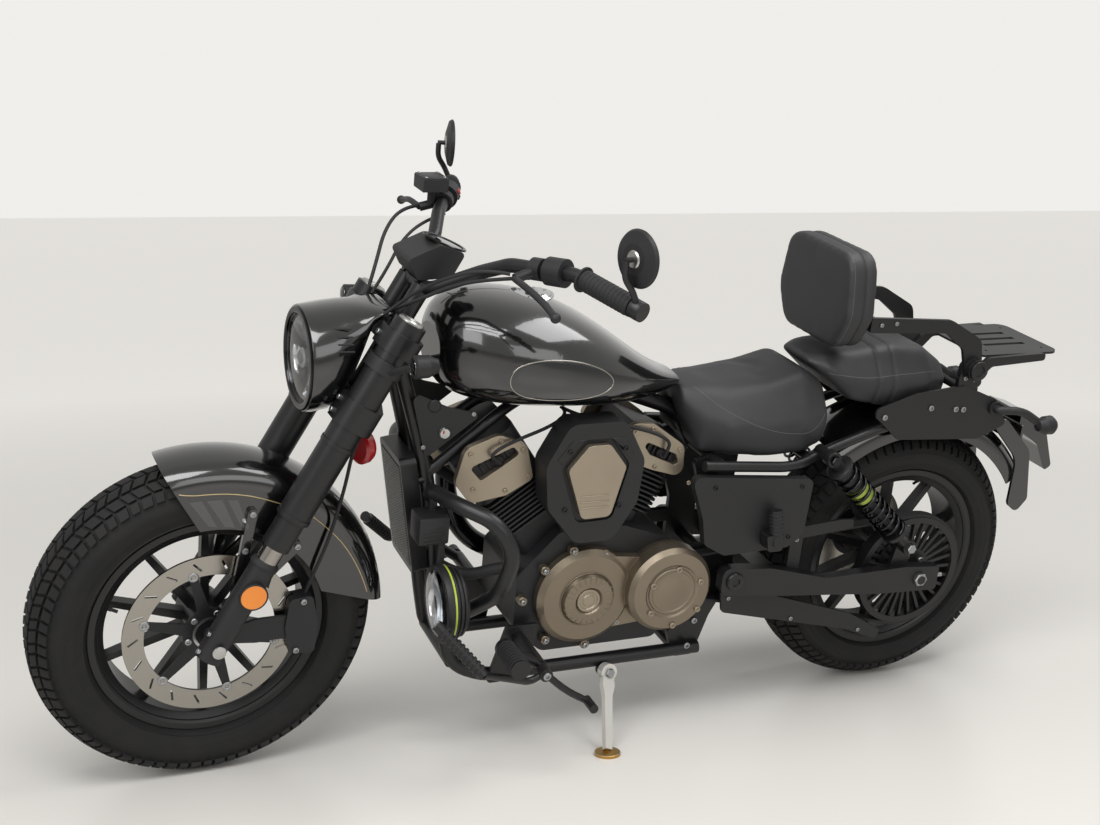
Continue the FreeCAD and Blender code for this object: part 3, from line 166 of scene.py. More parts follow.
def addSky():
    world = bpy.data.worlds.new("studio")
    world.use_nodes = True
    tree = world.node_tree
    direct, through, glossy = (addNode(tree, "LightPath", give="Is " + ray + " Ray")
            for ray in ("Camera", "Transmission", "Glossy"))
    seen = addNode(tree, "Math", {0: direct, 1: through}, operation="MAXIMUM")
    mirrored = addNode(tree, "Math", {0: glossy, 1: studio["mirrorShare"]}, operation="MULTIPLY")
    share = addNode(tree, "Math", {0: seen, 1: mirrored}, operation="MAXIMUM")
    feed(tree, tree.nodes["Background"], {"Color": linear(studio["sky"]), "Strength": addNode(tree, "MapRange",
            {"Value": share, "To Min": studio["skyLight"][0], "To Max": studio["skyLight"][1]})})
    bpy.context.scene.world = world


def addSoftbox(name, at, aim, size, power):
    lamp = bpy.data.lights.new(name, "AREA")
    lamp.shape = "RECTANGLE"
    lamp.size, lamp.size_y = size
    lamp.energy = power
    holder = bpy.data.objects.new(name, lamp)
    holder.location = at
    holder.rotation_euler = (Vector(aim) - Vector(at)).to_track_quat("-Z", "Y").to_euler()
    bpy.context.scene.collection.objects.link(holder)


addCamera()
addFloor()
addSky()
for lampName, (at, aim, size, power) in softboxes.items():
    addSoftbox(lampName, at, aim, size, power)
bpy.context.scene.view_settings.view_transform = "Standard"
print("camera, floor and light placed")


# Materials, each a real finish.

finishes = {}
sheenPatchMm = 90.0


def startMaterial(name):
    finishes[name], tree, shader = newMaterial(name)
    return tree, shader, addNode(tree, "TexCoord", give="Object")


# A finish made of one colour with fine grain, slow patches of sheen and a little variation of tone.
def grainedFinish(name, low, high, roughness, grainMm, depthMm, metallic=0.0, coat=0.0, coatRoughness=0.05,
                  specular=0.5, edgeMm=0.0):
    tree, shader, place = startMaterial(name)
    patch = addNode(tree, "TexNoise", {"Vector": place, "Scale": 1000.0 / sheenPatchMm, "Detail": 3.0})
    bump = {"Height": addNode(tree, "TexNoise", {"Vector": place, "Scale": 1000.0 / grainMm, "Detail": 4.0}),
            "Distance": depthMm / 1000, "Strength": 0.6}
    if edgeMm:
        bump["Normal"] = addNode(tree, "Bevel", {"Radius": edgeMm / 1000}, samples=4)
    feed(tree, shader, {"Base Color": addNode(tree, "Mix", {0: patch, 6: linear(low), 7: linear(high)}, 2,
            data_type="RGBA"), "Roughness": addNode(tree, "MapRange", {"Value": patch, "To Min": roughness[0],
            "To Max": roughness[1]}), "Normal": addNode(tree, "Bump", bump), "Metallic": metallic,
            "Coat Weight": coat, "Coat Roughness": coatRoughness, "Specular IOR Level": specular})


# baked lacquer over black: deep, wet-looking, with a faint orange peel
grainedFinish("black lacquer", "070708", "0B0B0C", (0.14, 0.2), 7.0, 0.012, coat=1.0, coatRoughness=0.03,
        edgeMm=1.2)
# powder coat: satin, with a pebbled skin about half a millimetre across
grainedFinish("satin powder coat", "111112", "18181A", (0.32, 0.42), 0.7, 0.02, specular=0.4, edgeMm=1.2)
# rougher black on castings: sand-cast skin under matt enamel
grainedFinish("black cast enamel", "161618", "1F1F22", (0.42, 0.56), 1.1, 0.06, specular=0.4, edgeMm=1.4)
# champagne metallic enamel on die castings
grainedFinish("champagne enamel", "8F8474", "A09584", (0.32, 0.44), 0.8, 0.03, metallic=0.85, edgeMm=1.6)
# darker bronze metallic enamel on the clutch and generator covers
grainedFinish("bronze enamel", "776D5F", "877C6C", (0.32, 0.44), 0.8, 0.03, metallic=0.85, edgeMm=1.6)
# moulded polypropylene: leathery graining, low sheen
grainedFinish("moulded black plastic", "161617", "1D1D1F", (0.44, 0.56), 0.9, 0.05, specular=0.4, edgeMm=1.4)
# black chrome: dark mirror
grainedFinish("black chrome", "2A2A2C", "38383A", (0.12, 0.2), 6.0, 0.004, metallic=1.0)
# polished chrome on the filler cap
grainedFinish("polished chrome", "C9CACC", "DADBDC", (0.07, 0.14), 8.0, 0.003, metallic=1.0)
# machined and sealed aluminium on axles, spacers and bolt heads
grainedFinish("machined aluminium", "A9A9A6", "BDBDBA", (0.28, 0.38), 0.5, 0.01, metallic=1.0)
# zinc-plated steel screws
grainedFinish("zinc plated steel", "8E9092", "A3A4A5", (0.3, 0.42), 0.6, 0.01, metallic=1.0)
# hard chrome of the fork's sliding tubes
grainedFinish("hard chrome", "8E8A84", "A09C96", (0.14, 0.2), 5.0, 0.003, metallic=1.0)
# handlebar grip rubber
grainedFinish("grip rubber", "121213", "18181A", (0.66, 0.8), 0.6, 0.05)
# brownish cast iron lower barrels, warmed by heat
grainedFinish("brown barrel enamel", "2F2722", "3C322B", (0.45, 0.6), 1.2, 0.05, metallic=0.3)
# silver enamel on the side stand's leg
grainedFinish("silver enamel", "C4C2BC", "D3D1CB", (0.3, 0.42), 0.9, 0.02, metallic=0.5)
# gold anodised aluminium
grainedFinish("gold anodised aluminium", "A8823C", "BC9448", (0.3, 0.4), 0.7, 0.01, metallic=1.0)
# gold pinstripe enamel
grainedFinish("gold pinstripe enamel", "A89468", "B8A478", (0.3, 0.38), 2.0, 0.004, metallic=0.4, coat=0.6)
# grey decorative film under lacquer, low on the fender
grainedFinish("grey film under lacquer", "3A3B3D", "47484A", (0.3, 0.38), 3.0, 0.004, metallic=0.3, coat=0.8)
# red anodised switch and horn grille enamel
grainedFinish("red enamel", "8E1418", "A11B1E", (0.25, 0.34), 1.2, 0.01, coat=0.4)
grainedFinish("amber reflector plastic", "D9760F", "E88A1C", (0.16, 0.24), 1.6, 0.03, coat=0.6)
grainedFinish("red lens plastic", "6E0A0C", "8A0F12", (0.1, 0.16), 3.0, 0.01, coat=0.8)
# yellow-green reflective strip and anodised shock collars
grainedFinish("yellow-green reflective film", "9DB02C", "B4C63E", (0.34, 0.44), 1.4, 0.02, coat=0.4)
grainedFinish("yellow-green anodised aluminium", "8E9E46", "A2B255", (0.26, 0.36), 0.8, 0.01, metallic=0.9)
# etched glass of the bulb: white and softly shining
grainedFinish("frosted bulb glass", "E4E6E4", "F2F3F1", (0.3, 0.42), 1.2, 0.01)
# black glass over the instrument's face
grainedFinish("dark instrument glass", "0A0C0E", "101316", (0.05, 0.09), 9.0, 0.002, coat=1.0,
        coatRoughness=0.02)
# silvered glass of the mirrors
grainedFinish("mirror glass", "D8DADC", "E2E4E6", (0.02, 0.04), 12.0, 0.001, metallic=1.0)
# polyester thread of the seat seams
grainedFinish("seat thread", "4A4A4C", "5A5A5C", (0.6, 0.7), 0.8, 0.03)


# tread and sidewall rubber: matt black with a brown bloom of dust
def makeTyreRubber():
    tree, shader, place = startMaterial("tyre rubber")
    dust = addNode(tree, "TexNoise", {"Vector": place, "Scale": 14.0, "Detail": 6.0, "Roughness": 0.65})
    tone = addNode(tree, "Mix", {0: addNode(tree, "MapRange", {"Value": dust, "From Min": 0.42,
            "From Max": 0.78, "To Min": 0.0, "To Max": 0.55}), 6: linear("161617"), 7: linear("292724")}, 2,
            data_type="RGBA")
    bump = addNode(tree, "Bump", {"Height": addNode(tree, "TexNoise", {"Vector": place, "Scale": 900.0,
            "Detail": 3.0}), "Distance": 0.0001, "Strength": 0.5})
    feed(tree, shader, {"Base Color": tone, "Roughness": addNode(tree, "MapRange",
            {"Value": dust, "To Min": 0.62, "To Max": 0.82}), "Normal": bump, "Specular IOR Level": 0.3})


# seat leather: small rounded grains about 1.2 mm across, with soft creases
def makeLeather():
    tree, shader, place = startMaterial("seat leather")
    cells = addNode(tree, "TexVoronoi", {"Vector": place, "Scale": 820.0}, feature="SMOOTH_F1")
    crease = addNode(tree, "TexNoise", {"Vector": place, "Scale": 26.0, "Detail": 5.0})
    fine = addNode(tree, "Bump", {"Height": cells, "Distance": 0.00016, "Strength": 0.7}, invert=True)
    both = addNode(tree, "Bump", {"Height": crease, "Distance": 0.0008, "Strength": 0.25, "Normal": fine})
    feed(tree, shader, {"Base Color": addNode(tree, "Mix", {0: crease, 6: linear("222224"),
            7: linear("2E2E30")}, 2, data_type="RGBA"), "Roughness": addNode(tree, "MapRange",
            {"Value": crease, "To Min": 0.44, "To Max": 0.6}), "Normal": both, "Specular IOR Level": 0.4})


# The distance of a surface point from a wheel's axle, for finishes that were turned or ground round it.
def radiusFromAxle(tree, place, axle, body):
    centre = placeOf[body] @ (axle / 1000)
    spin = (placeOf[body].to_3x3() @ yAxis).normalized()
    offset = addNode(tree, "VectorMath", {0: place, 1: centre}, operation="SUBTRACT")
    height = addNode(tree, "VectorMath", {0: offset, 1: spin}, "Value", operation="DOT_PRODUCT")
    along = addNode(tree, "VectorMath", {0: spin, "Scale": height}, operation="SCALE")
    flat = addNode(tree, "VectorMath", {0: offset, 1: along}, operation="SUBTRACT")
    return addNode(tree, "VectorMath", {0: flat}, "Value", operation="LENGTH")


# ground brake disc: bright rings of grinding marks outside, black anodised carrier inside
def makeDiscSteel(name, axle, body, carrierMm):
    tree, shader, place = startMaterial(name)
    radius = radiusFromAxle(tree, place, axle, body)
    ring = addNode(tree, "MapRange", {"Value": radius, "From Min": carrierMm / 1000 - 0.0005,
            "From Max": carrierMm / 1000 + 0.0005, "To Min": 0.0, "To Max": 1.0})
    marks = addNode(tree, "TexNoise", {"W": radius, "Scale": 900.0, "Detail": 2.0}, noise_dimensions="1D")
    shine = addNode(tree, "Mix", {0: marks, 6: linear("8F8B84"), 7: linear("A8A49C")}, 2, data_type="RGBA")
    bump = addNode(tree, "Bump", {"Height": marks, "Distance": 0.00005, "Strength": 0.4})
    feed(tree, shader, {"Base Color": addNode(tree, "Mix", {0: ring, 6: linear("1A1A1C"), 7: shine}, 2,
            data_type="RGBA"), "Roughness": addNode(tree, "MapRange", {"Value": ring, "To Min": 0.4,
            "To Max": 0.24}), "Metallic": addNode(tree, "MapRange", {"Value": ring, "To Min": 0.35,
            "To Max": 1.0}), "Normal": bump})


def makeGlass(name, colour, roughness):
    tree, shader, place = startMaterial(name)
    bump = addNode(tree, "Bump", {"Height": addNode(tree, "TexNoise", {"Vector": place, "Scale": 60.0,
            "Detail": 2.0}), "Distance": 0.0002, "Strength": 0.2})
    feed(tree, shader, {"Base Color": linear(colour), "Roughness": roughness, "Normal": bump,
            "Transmission Weight": 1.0, "IOR": 1.49})


makeTyreRubber()
makeLeather()
makeDiscSteel("ground disc steel", frontAxle, "front_wheel", 121)
makeDiscSteel("rear disc steel", rearAxle, "rear_wheel", 62)
makeGlass("clear lens polycarbonate", "F4F6F8", 0.04)
makeGlass("smoked lens polycarbonate", "C8CCD0", 0.12)

# the finish of each node of the frame
nodesWith = {
    "satin powder coat": "frame radiator rack swingarm shocks foot_controls crash_bars backrest_arms rear_rim "
        "rear_pulley fork handlebar front_rim",
    "black cast enamel": "engine_case cylinders fork_lower hand_controls brake_caliper",
    "bronze enamel": "engine_covers",
    "champagne enamel": "champagne_covers",
    "moulded black plastic": "air_cleaner side_covers rear_indicators belt_guards aux_lamps instrument mirrors "
        "front_indicators",
    "black chrome": "exhaust",
    "black lacquer": "fuel_tank rear_fender tail_panels front_fender headlamp_shell",
    "polished chrome": "tank_cap",
    "seat leather": "rider_seat pillion_seat backrest_pad",
    "red lens plastic": "tail_lamp",
    "grip rubber": "drive_belt grips brake_hose",
    "red enamel": "horn",
    "silver enamel": "side_stand",
    "tyre rubber": "rear_tyre front_tyre",
    "rear disc steel": "rear_disc",
    "amber reflector plastic": "fork_reflectors",
    "clear lens polycarbonate": "headlamp_lens",
    "ground disc steel": "front_disc",
}


def paint(piece, finish):
    piece.data.materials.clear()
    piece.data.materials.append(finishes[finish])


for finish, names in nodesWith.items():
    for name in names.split():
        if name in nodes:
            paint(nodes[name], finish)
print("materials made:", len(finishes))


# Small modelling tools.

# the machine's left and right
sides = {"Left": 1, "Right": -1}


def endEdit():
    bpy.ops.object.mode_set(mode="OBJECT")


def editAll():
    bpy.ops.object.mode_set(mode="EDIT")
    bpy.ops.mesh.select_all(action="SELECT")


def deselectAll():
    if bpy.context.object and bpy.context.object.mode != "OBJECT":
        endEdit()
    bpy.ops.object.select_all(action="DESELECT")


def select(*pieces):
    deselectAll()
    for piece in pieces:
        piece.select_set(True)
    bpy.context.view_layer.objects.active = pieces[0]


def extrude(move):
    bpy.ops.mesh.extrude_region_move(TRANSFORM_OT_translate={"value": move})


def smoothAll(piece):
    for face in piece.data.polygons:
        face.use_smooth = True


# A chain of edges, drawn by extruding one vertex from point to point.
def drawLine(name, points, closed=False):
    points = [Vector(p) for p in points]
    deselectAll()
    bpy.ops.mesh.primitive_plane_add(size=0.001)
    line = bpy.context.active_object
    line.name = name
    editAll()
    bpy.ops.mesh.merge(type="CENTER")
    bpy.ops.transform.translate(value=points[0])
    for before, after in zip(points, points[1:]):
        extrude(after - before)
    if closed:
        bpy.ops.mesh.select_all(action="SELECT")
        bpy.ops.mesh.edge_face_add()
    endEdit()
    return line


def applyModifier(piece, kind, **settings):
    select(piece)
    modifier = piece.modifiers.new(kind.lower(), kind)
    for name, value in settings.items():
        setattr(modifier, name, value)
    bpy.ops.object.modifier_apply(modifier=modifier.name)


def makeTidy(piece):
    select(piece)
    editAll()
    bpy.ops.mesh.remove_doubles(threshold=0.00002)
    bpy.ops.mesh.normals_make_consistent(inside=False)
    endEdit()


def easeEdges(piece, width, segments=2):
    applyModifier(piece, "BEVEL", width=width / 1000, segments=segments, limit_method="ANGLE",
            angle_limit=radians(50))


# A round piece: its rows (radius, height) are turned about Z.
def turnPiece(name, rows, steps=48, closed=True):
    line = drawLine(name, [mm(r, 0, a) for r, a in rows + (rows[:1] if closed else [])])
    applyModifier(line, "SCREW", axis="Z", steps=steps, render_steps=steps, use_merge_vertices=True,
            merge_threshold=0.00005)
    makeTidy(line)
    return line


# A flat piece: an outline in X and Y with eased corners and edges, thickened along Z.
def cutPlate(name, outline, thickness, corner, edge):
    plate = drawLine(name, [mm(x, y, 0) for x, y in outline], closed=True)
    editAll()
    bpy.ops.mesh.bevel(offset=corner / 1000, segments=5, affect="VERTICES")
    bpy.ops.mesh.select_all(action="SELECT")
    extrude((0, 0, thickness / 1000))
    endEdit()
    makeTidy(plate)
    easeEdges(plate, edge)
    return plate


def makeBox(name, size, edge=1.0):
    deselectAll()
    bpy.ops.mesh.primitive_cube_add(size=1)
    box = bpy.context.active_object
    box.name = name
    editAll()
    bpy.ops.transform.resize(value=mm(size))
    bpy.ops.mesh.bevel(offset=edge / 1000, segments=2, affect="EDGES")
    endEdit()
    return box


# The frame of a piece that stands at a point and faces a direction; across gives its own X.
def facing(at, direction, across=None):
    zed = Vector(direction).normalized()
    ex = Vector(across) if across is not None else (xAxis if abs(zed.x) < 0.9 else yAxis)
    ex = (ex - zed * ex.dot(zed)).normalized()
    axes = Matrix((ex, zed.cross(ex), zed)).transposed().to_4x4()
    return Matrix.Translation(mm(at)) @ axes


# Moves a piece, with its new place in its mesh.
def placeLoose(piece, at):
    select(piece)
    piece.matrix_world = at
    bpy.ops.object.transform_apply(location=True, rotation=True, scale=True)
    return piece


# Puts a piece where it belongs on the leaning machine.
def settle(piece, body, finish, at=Matrix.Identity(4), smooth=35, replaces=(), slotName=None):
    placeLoose(piece, placeOf[body] @ at)
    if smooth:
        bpy.ops.object.shade_smooth_by_angle(angle=radians(smooth))
    paint(piece, finish)
    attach(piece, body)
    if replaces:
        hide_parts(*replaces)
    return piece


def joinPieces(name, parts):
    select(*parts)
    if len(parts) > 1:
        bpy.ops.object.join()
    parts[0].name = name
    return parts[0]


# One piece copied to several places, each copy with its own mesh, and joined.
def repeatAt(name, first, places):
    copies = []
    for place in places[1:]:
        select(first)
        bpy.ops.object.duplicate()
        copies.append(placeLoose(bpy.context.active_object, place))
    placeLoose(first, places[0])
    return joinPieces(name, [first] + copies)


def settleEach(name, first, body, finish, places, smooth=30):
    return settle(repeatAt(name, first, places), body, finish, smooth=smooth)


# A smooth curve through a few points.
def drawCurve(name, body, points, resolution, closed=False):
    curve = bpy.data.curves.new(name, "CURVE")
    curve.dimensions = "3D"
    curve.resolution_u = resolution
    line = curve.splines.new("NURBS")
    line.points.add(len(points) - 1)
    for knot, point in zip(line.points, points):
        knot.co = (*(placeOf[body] @ mm(point)), 1.0)
    line.order_u = 3
    line.use_endpoint_u = not closed
    line.use_cyclic_u = closed
    drawn = bpy.data.objects.new(name, curve)
    bpy.context.scene.collection.objects.link(drawn)
    return drawn


# A black rubber cable or hose.
def layCable(name, body, diameter, points):
    cable = drawCurve(name, body, points, 10)
    cable.data.bevel_depth = diameter / 2000
    cable.data.bevel_resolution = 3
    cable.data.use_fill_caps = True
    cable.data.materials.append(finishes["grip rubber"])
    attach(cable, body)
    return cable


def solid(target):
    return nodes[target] if isinstance(target, str) else target


# Where a straight line from a point meets the skin of a node or a piece, and which way that skin faces.
skins = {}


def touch(target, at, toward, body="frame"):
    skin = solid(target)
    if skin.name not in skins:
        mesh = skin.data
        skins[skin.name] = BVHTree.FromPolygons([v.co for v in mesh.vertices], [f.vertices
                for f in mesh.polygons])
    place = placeOf[body]
    heading = (place.to_3x3() @ Vector(toward)).normalized()
    spot, normal = skins[skin.name].ray_cast(place @ mm(at), heading)[:2]
    if spot is None:
        print("no skin of", skin.name, "met from", [round(c) for c in at])
        return Vector(at), -Vector(toward).normalized()
    back = place.inverted()
    return (back @ spot) * 1000, (back.to_3x3() @ normal).normalized()


# Where the points (x, z) of a line lie on a side's skin.
def onSide(target, side, line, body="frame"):
    return [touch(target, (x, side * 300, z), (0, -side, 0), body)[0] for x, z in line]


# Cap screws set square on a side face, heads only: points are (x, z), which are seen from a distance of reach.
def sideScrews(name, target, finish, radius, height, points, both=False, body="frame", reach=420.0):
    spots = []
    for side in (1, -1) if both else (1,):
        for x, z in points:
            spot = touch(target, (x, side * reach, z), (0, -side, 0), body)[0]
            spots.append(facing(spot - yAxis * side * 0.4, (0, side, 0)))
    head = turnPiece(name, [(0, 0), (radius, 0), (radius, height * 0.86), (radius * 0.88, height),
            (radius * 0.55, height), (radius * 0.5, height * 0.45), (0, height * 0.45)], steps=12, closed=False)
    return settleEach(name, head, body, finish, spots)


# A raised line, such as piping, thread or a pinstripe, that follows the skin through a few points.
def layBead(name, body, target, points, diameter, finish, sink=0.0, closed=False):
    select(drawCurve(name, body, points, 14, closed))
    bpy.ops.object.convert(target="MESH")
    bead = bpy.context.active_object
    applyModifier(bead, "SHRINKWRAP", target=solid(target), wrap_method="NEAREST_SURFACEPOINT",
            wrap_mode="ABOVE_SURFACE", offset=-sink / 1000)
    bpy.ops.object.convert(target="CURVE")
    bead = bpy.context.active_object
    bead.data.bevel_depth = diameter / 2000
    bead.data.bevel_resolution = 1
    bead.data.use_fill_caps = True
    bpy.ops.object.convert(target="MESH")
    bead = bpy.context.active_object
    bead.name = name
    smoothAll(bead)
    paint(bead, finish)
    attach(bead, body)
    return bead


# A thin film or plate laid on a side face: its outline (x, z) is cut small and dropped onto the skin.
def layFilm(name, body, target, outline, finish, thick, corner=0.0, side=1, step=7.0):
    film = drawLine(name, [mm(x, side * 400, z) for x, z in outline], closed=True)
    editAll()
    if corner:
        bpy.ops.mesh.bevel(offset=corner / 1000, segments=6, affect="VERTICES")
    for row, axis in ((0, xAxis), (1, zAxis)):
        low, high = min(p[row] for p in outline), max(p[row] for p in outline)
        cuts = int((high - low) / step)
        for i in range(1, cuts + 1):
            bpy.ops.mesh.select_all(action="SELECT")
            bpy.ops.mesh.bisect(plane_co=axis * (low + (high - low) * i / (cuts + 1)) / 1000, plane_no=axis)
    endEdit()
    for vertex in film.data.vertices:
        spot, normal = touch(target, vertex.co * 1000, (0, -side, 0), body)
        vertex.co = mm(spot + normal * 0.05)
    makeTidy(film)
    if sum(face.normal.y * side for face in film.data.polygons) < 0:
        editAll()
        bpy.ops.mesh.flip_normals()
        endEdit()
    applyModifier(film, "SOLIDIFY", thickness=thick / 1000, offset=1.0)
    return settle(film, body, finish, smooth=40)


# A coil spring: a round wire turned round the Z axis as it climbs.
def windSpring(name, radius, wire, pitch, turns):
    deselectAll()
    bpy.ops.mesh.primitive_circle_add(vertices=10, radius=wire / 2000, location=mm(radius, 0, 0),
            rotation=(pi / 2, 0, 0))
    coil = bpy.context.active_object
    coil.name = name
    bpy.ops.object.transform_apply(location=True, rotation=True, scale=True)
    applyModifier(coil, "SCREW", axis="Z", angle=2 * pi, screw_offset=pitch / 1000, iterations=turns, steps=26,
            render_steps=26, use_merge_vertices=False)
    editAll()
    bpy.ops.mesh.fill_holes(sides=12)
    endEdit()
    makeTidy(coil)
    return coil


# A piece turned about any line: rows are (radius, distance along the line).
def turnAt(name, rows, at, direction, body, finish, steps=48, smooth=35, closed=True, **settings):
    return settle(turnPiece(name, rows, steps=steps, closed=closed), body, finish, at=facing(at, direction),
            smooth=smooth, **settings)


# A shape lofted through closed rings of points, with its ends closed.
def loftRings(name, rings):
    loops = [drawLine(name, [mm(p) for p in ring + ring[:1]]) for ring in rings]
    for loop in loops:
        makeTidy(loop)
    body = joinPieces(name, loops)
    editAll()
    bpy.ops.mesh.bridge_edge_loops()
    bpy.ops.mesh.select_all(action="DESELECT")
    bpy.ops.mesh.select_non_manifold()
    bpy.ops.mesh.edge_face_add()
    endEdit()
    makeTidy(body)
    return body


# Tyres: a carcass turned round the axle, with tread blocks wrapped onto its crown.

tyres = {
    "front": {"body": "front_wheel", "centre": frontAxle, "radius": 320.0, "half": 65.0, "crown": 72.0,
              "shoulder": radians(53.0), "flange": 217.0, "bead": 44.0, "pitches": 40},
    "rear": {"body": "rear_wheel", "centre": rearAxle, "radius": 306.0, "half": 75.0, "crown": 85.0,
             "shoulder": radians(53.2), "flange": 213.0, "bead": 56.0, "pitches": 38},
}
# the crown is flat this far each side of its middle; blocks have a root in the carcass, and their faces stay
# inside the tyre's radius by the last value
flatTop, treadDepth, blockRoot, floorGap = radians(12), 6.0, 1.5, 0.3
# the sidewall's steps: part of its height above the flange, millimetres inside the half width
wallSteps = [(0.84, 4.5), (0.80, 2.6), (0.62, 1.2), (0.58, 2.4), (0.40, 2.2), (0.36, 3.6),
             (0.16, 8.5), (0.12, 7.5)]
# corner points of the tread blocks of one pitch: part of a pitch round the tyre, part of the half width across
treadBlocks = [
    [(0.06, 0.03), (0.52, 0.03), (0.74, 0.36), (0.28, 0.36)],
    [(0.60, 0.03), (0.94, 0.03), (1.16, 0.36), (0.82, 0.36)],
    [(0.36, 0.43), (0.84, 0.43), (0.66, 0.70), (0.18, 0.70)],
    [(0.94, 0.43), (1.26, 0.43), (1.08, 0.70), (0.76, 0.70)],
    [(0.20, 0.77), (0.62, 0.77), (0.70, 1.02), (0.28, 1.02)],
    [(0.74, 0.77), (1.08, 0.77), (1.16, 1.02), (0.82, 1.02)],
]


def makeCarcass(name, t):
    deep, flange, bead = t["radius"] - treadDepth, t["flange"], t["bead"]
    left = []
    for i in range(9):
        angle = t["shoulder"] * i / 8
        left.append((min(deep, deep - t["crown"] * (cos(flatTop) - cos(angle))), t["crown"] * sin(angle)))
    wall = left[-1][0] - flange
    left += [(flange + wall * share, t["half"] - inset) for share, inset in wallSteps]
    left += [(flange + 2.0, bead + 3.0), (flange + 1.0, bead - 1.0), (flange - 17.0, bead - 2.0)]
    return turnPiece(name, left[::-1] + [(r, -y) for r, y in left[1:]], steps=120)


def makeTread(name, t):
    deep, crown = t["radius"] - treadDepth, t["crown"]
    pitch, reach = 2 * pi * deep / t["pitches"], crown * t["shoulder"]
    blocks = []
    for block in treadBlocks:
        for sign, shift in ((1, 0.0), (-1, 0.5)):
            corners = [mm((u + shift) * pitch, sign * v * reach, 0) for u, v in block]
            blocks.append(drawLine("block", corners, closed=True))
            editAll()
            extrude((0, 0, (treadDepth + blockRoot) / 1000))
            bpy.ops.transform.resize(value=(0.94, 0.96, 1))
            endEdit()
    tread = joinPieces(name, blocks)
    select(tread)
    editAll()
    for cut in range(1, 8):
        for sign in (1, -1):
            bpy.ops.mesh.select_all(action="SELECT")
            bpy.ops.mesh.bisect(plane_co=(0, sign * reach / 1000 * cut / 8, 0), plane_no=(0, 1, 0))
    endEdit()
    applyModifier(tread, "ARRAY", count=t["pitches"], use_relative_offset=False, use_constant_offset=True,
            constant_offset_displace=(pitch / 1000, 0, 0))
    # the flat pattern is wrapped round the axle and over the crown
    for vertex in tread.data.vertices:
        turn, lean = vertex.co.x * 1000 / deep, vertex.co.y * 1000 / crown
        out = crown + vertex.co.z * 1000 - blockRoot
        r = min(deep - crown * cos(flatTop) + out * cos(lean), t["radius"] - floorGap)
        vertex.co = mm(r * cos(turn), r * sin(turn), out * sin(lean))
    makeTidy(tread)
    return tread


for end, t in tyres.items():
    tyre = joinPieces(end + "TyreTreaded", [makeCarcass(end + "Carcass", t), makeTread(end + "Tread", t)])
    settle(tyre, t["body"], "tyre rubber", at=facing(t["centre"], yAxis), smooth=32, replaces=(end + "_tyre",),
            slotName="tyre")
print("tyres made")


# Seats and backrest: the solids' own shapes, filled out by cloth under pressure. Seams draw some of them in.

cushions = {
    "riderCushion": {"node": "rider_seat", "body": "frame", "voxel": 0.006, "smooth": 16, "seams": ()},
    "pillionCushion": {"node": "pillion_seat", "body": "frame", "voxel": 0.005, "smooth": 16,
                       "seams": ((150, 3.0), (112, 3.0)), "middle": 730},
    "backrestCushion": {"node": "backrest_pad", "body": "backrest", "voxel": 0.005, "smooth": 10,
                        "seams": ((238, 4.0),), "middle": 925},
}
cloth = {"use_pressure": True, "uniform_pressure_force": 4.0, "tension_stiffness": 80.0,
         "compression_stiffness": 80.0, "shear_stiffness": 40.0, "bending_stiffness": 60.0, "quality": 5}
filling = {"frames": 20, "most": 0.006, "levelRounds": 6, "seamHalfWidth": 3.6}


# Vertices near a plane across the machine are drawn towards its middle line, as where a seam pulls a cover in.
def drawIn(piece, body, atX, depth, middle):
    place = placeOf[body]
    back = place.inverted()
    for vertex in piece.data.vertices:
        spot = (back @ vertex.co) * 1000
        amount = exp(-((spot.x - atX) / filling["seamHalfWidth"]) ** 2) * depth
        inward = Vector((0, -spot.y, middle - spot.z))
        if amount > 0.05 and inward.length > 1:
            vertex.co = place @ mm(spot + inward.normalized() * amount)


# The cloth run, held to a most that any point may move, and levelled after.
def fillOut(piece):
    before = [v.co.copy() for v in piece.data.vertices]
    fill = piece.modifiers.new("fill", "CLOTH")
    for name, value in cloth.items():
        setattr(fill.settings, name, value)
    fill.settings.effector_weights.gravity = 0.0
    for step in range(1, filling["frames"] + 1):
        bpy.context.scene.frame_set(step)
    bpy.context.view_layer.update()
    select(piece)
    bpy.ops.object.modifier_apply(modifier=fill.name)
    bpy.context.scene.frame_set(1)
    for vertex, start in zip(piece.data.vertices, before):
        move = vertex.co - start
        if move.length > filling["most"]:
            vertex.co = start + move.normalized() * filling["most"]
    applyModifier(piece, "SMOOTH", factor=0.5, iterations=filling["levelRounds"])


def makeCushion(name):
    c = cushions[name]
    deselectAll()
    piece = nodes[c["node"]].copy()
    piece.data = piece.data.copy()
    piece.name = name
    for key in list(piece.keys()):
        del piece[key]
    piece.parent = None
    bpy.context.scene.collection.objects.link(piece)
    makeTidy(piece)
    applyModifier(piece, "REMESH", mode="VOXEL", voxel_size=c["voxel"], use_smooth_shade=True)
    applyModifier(piece, "SMOOTH", factor=0.5, iterations=c["smooth"])
    fillOut(piece)
    for atX, depth in c["seams"]:
        drawIn(piece, c["body"], atX, depth, c["middle"])
    applyModifier(piece, "SUBSURF", levels=1, render_levels=1)
    smoothAll(piece)
    paint(piece, "seat leather")
    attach(piece, c["body"])
    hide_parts(c["node"])
    return piece


rider, pillion, backrest = (makeCushion(name) for name in cushions)
padRows = [(70, 822), (106, 838), (134, 890), (136, 920), (124, 1000), (104, 1026), (50, 1030)]
riderSeam = [(560, 744), (530, 722), (500, 704), (455, 684), (410, 670), (365, 660), (325, 655), (295, 664),
             (276, 690)]
pillionSeam = [(264, 768), (220, 762), (170, 758), (110, 762), (50, 762), (-10, 756)]


def ringAround(x, rows):
    return [Vector((x, y, z)) for y, z in rows] + [Vector((x, -y, z)) for y, z in reversed(rows)]


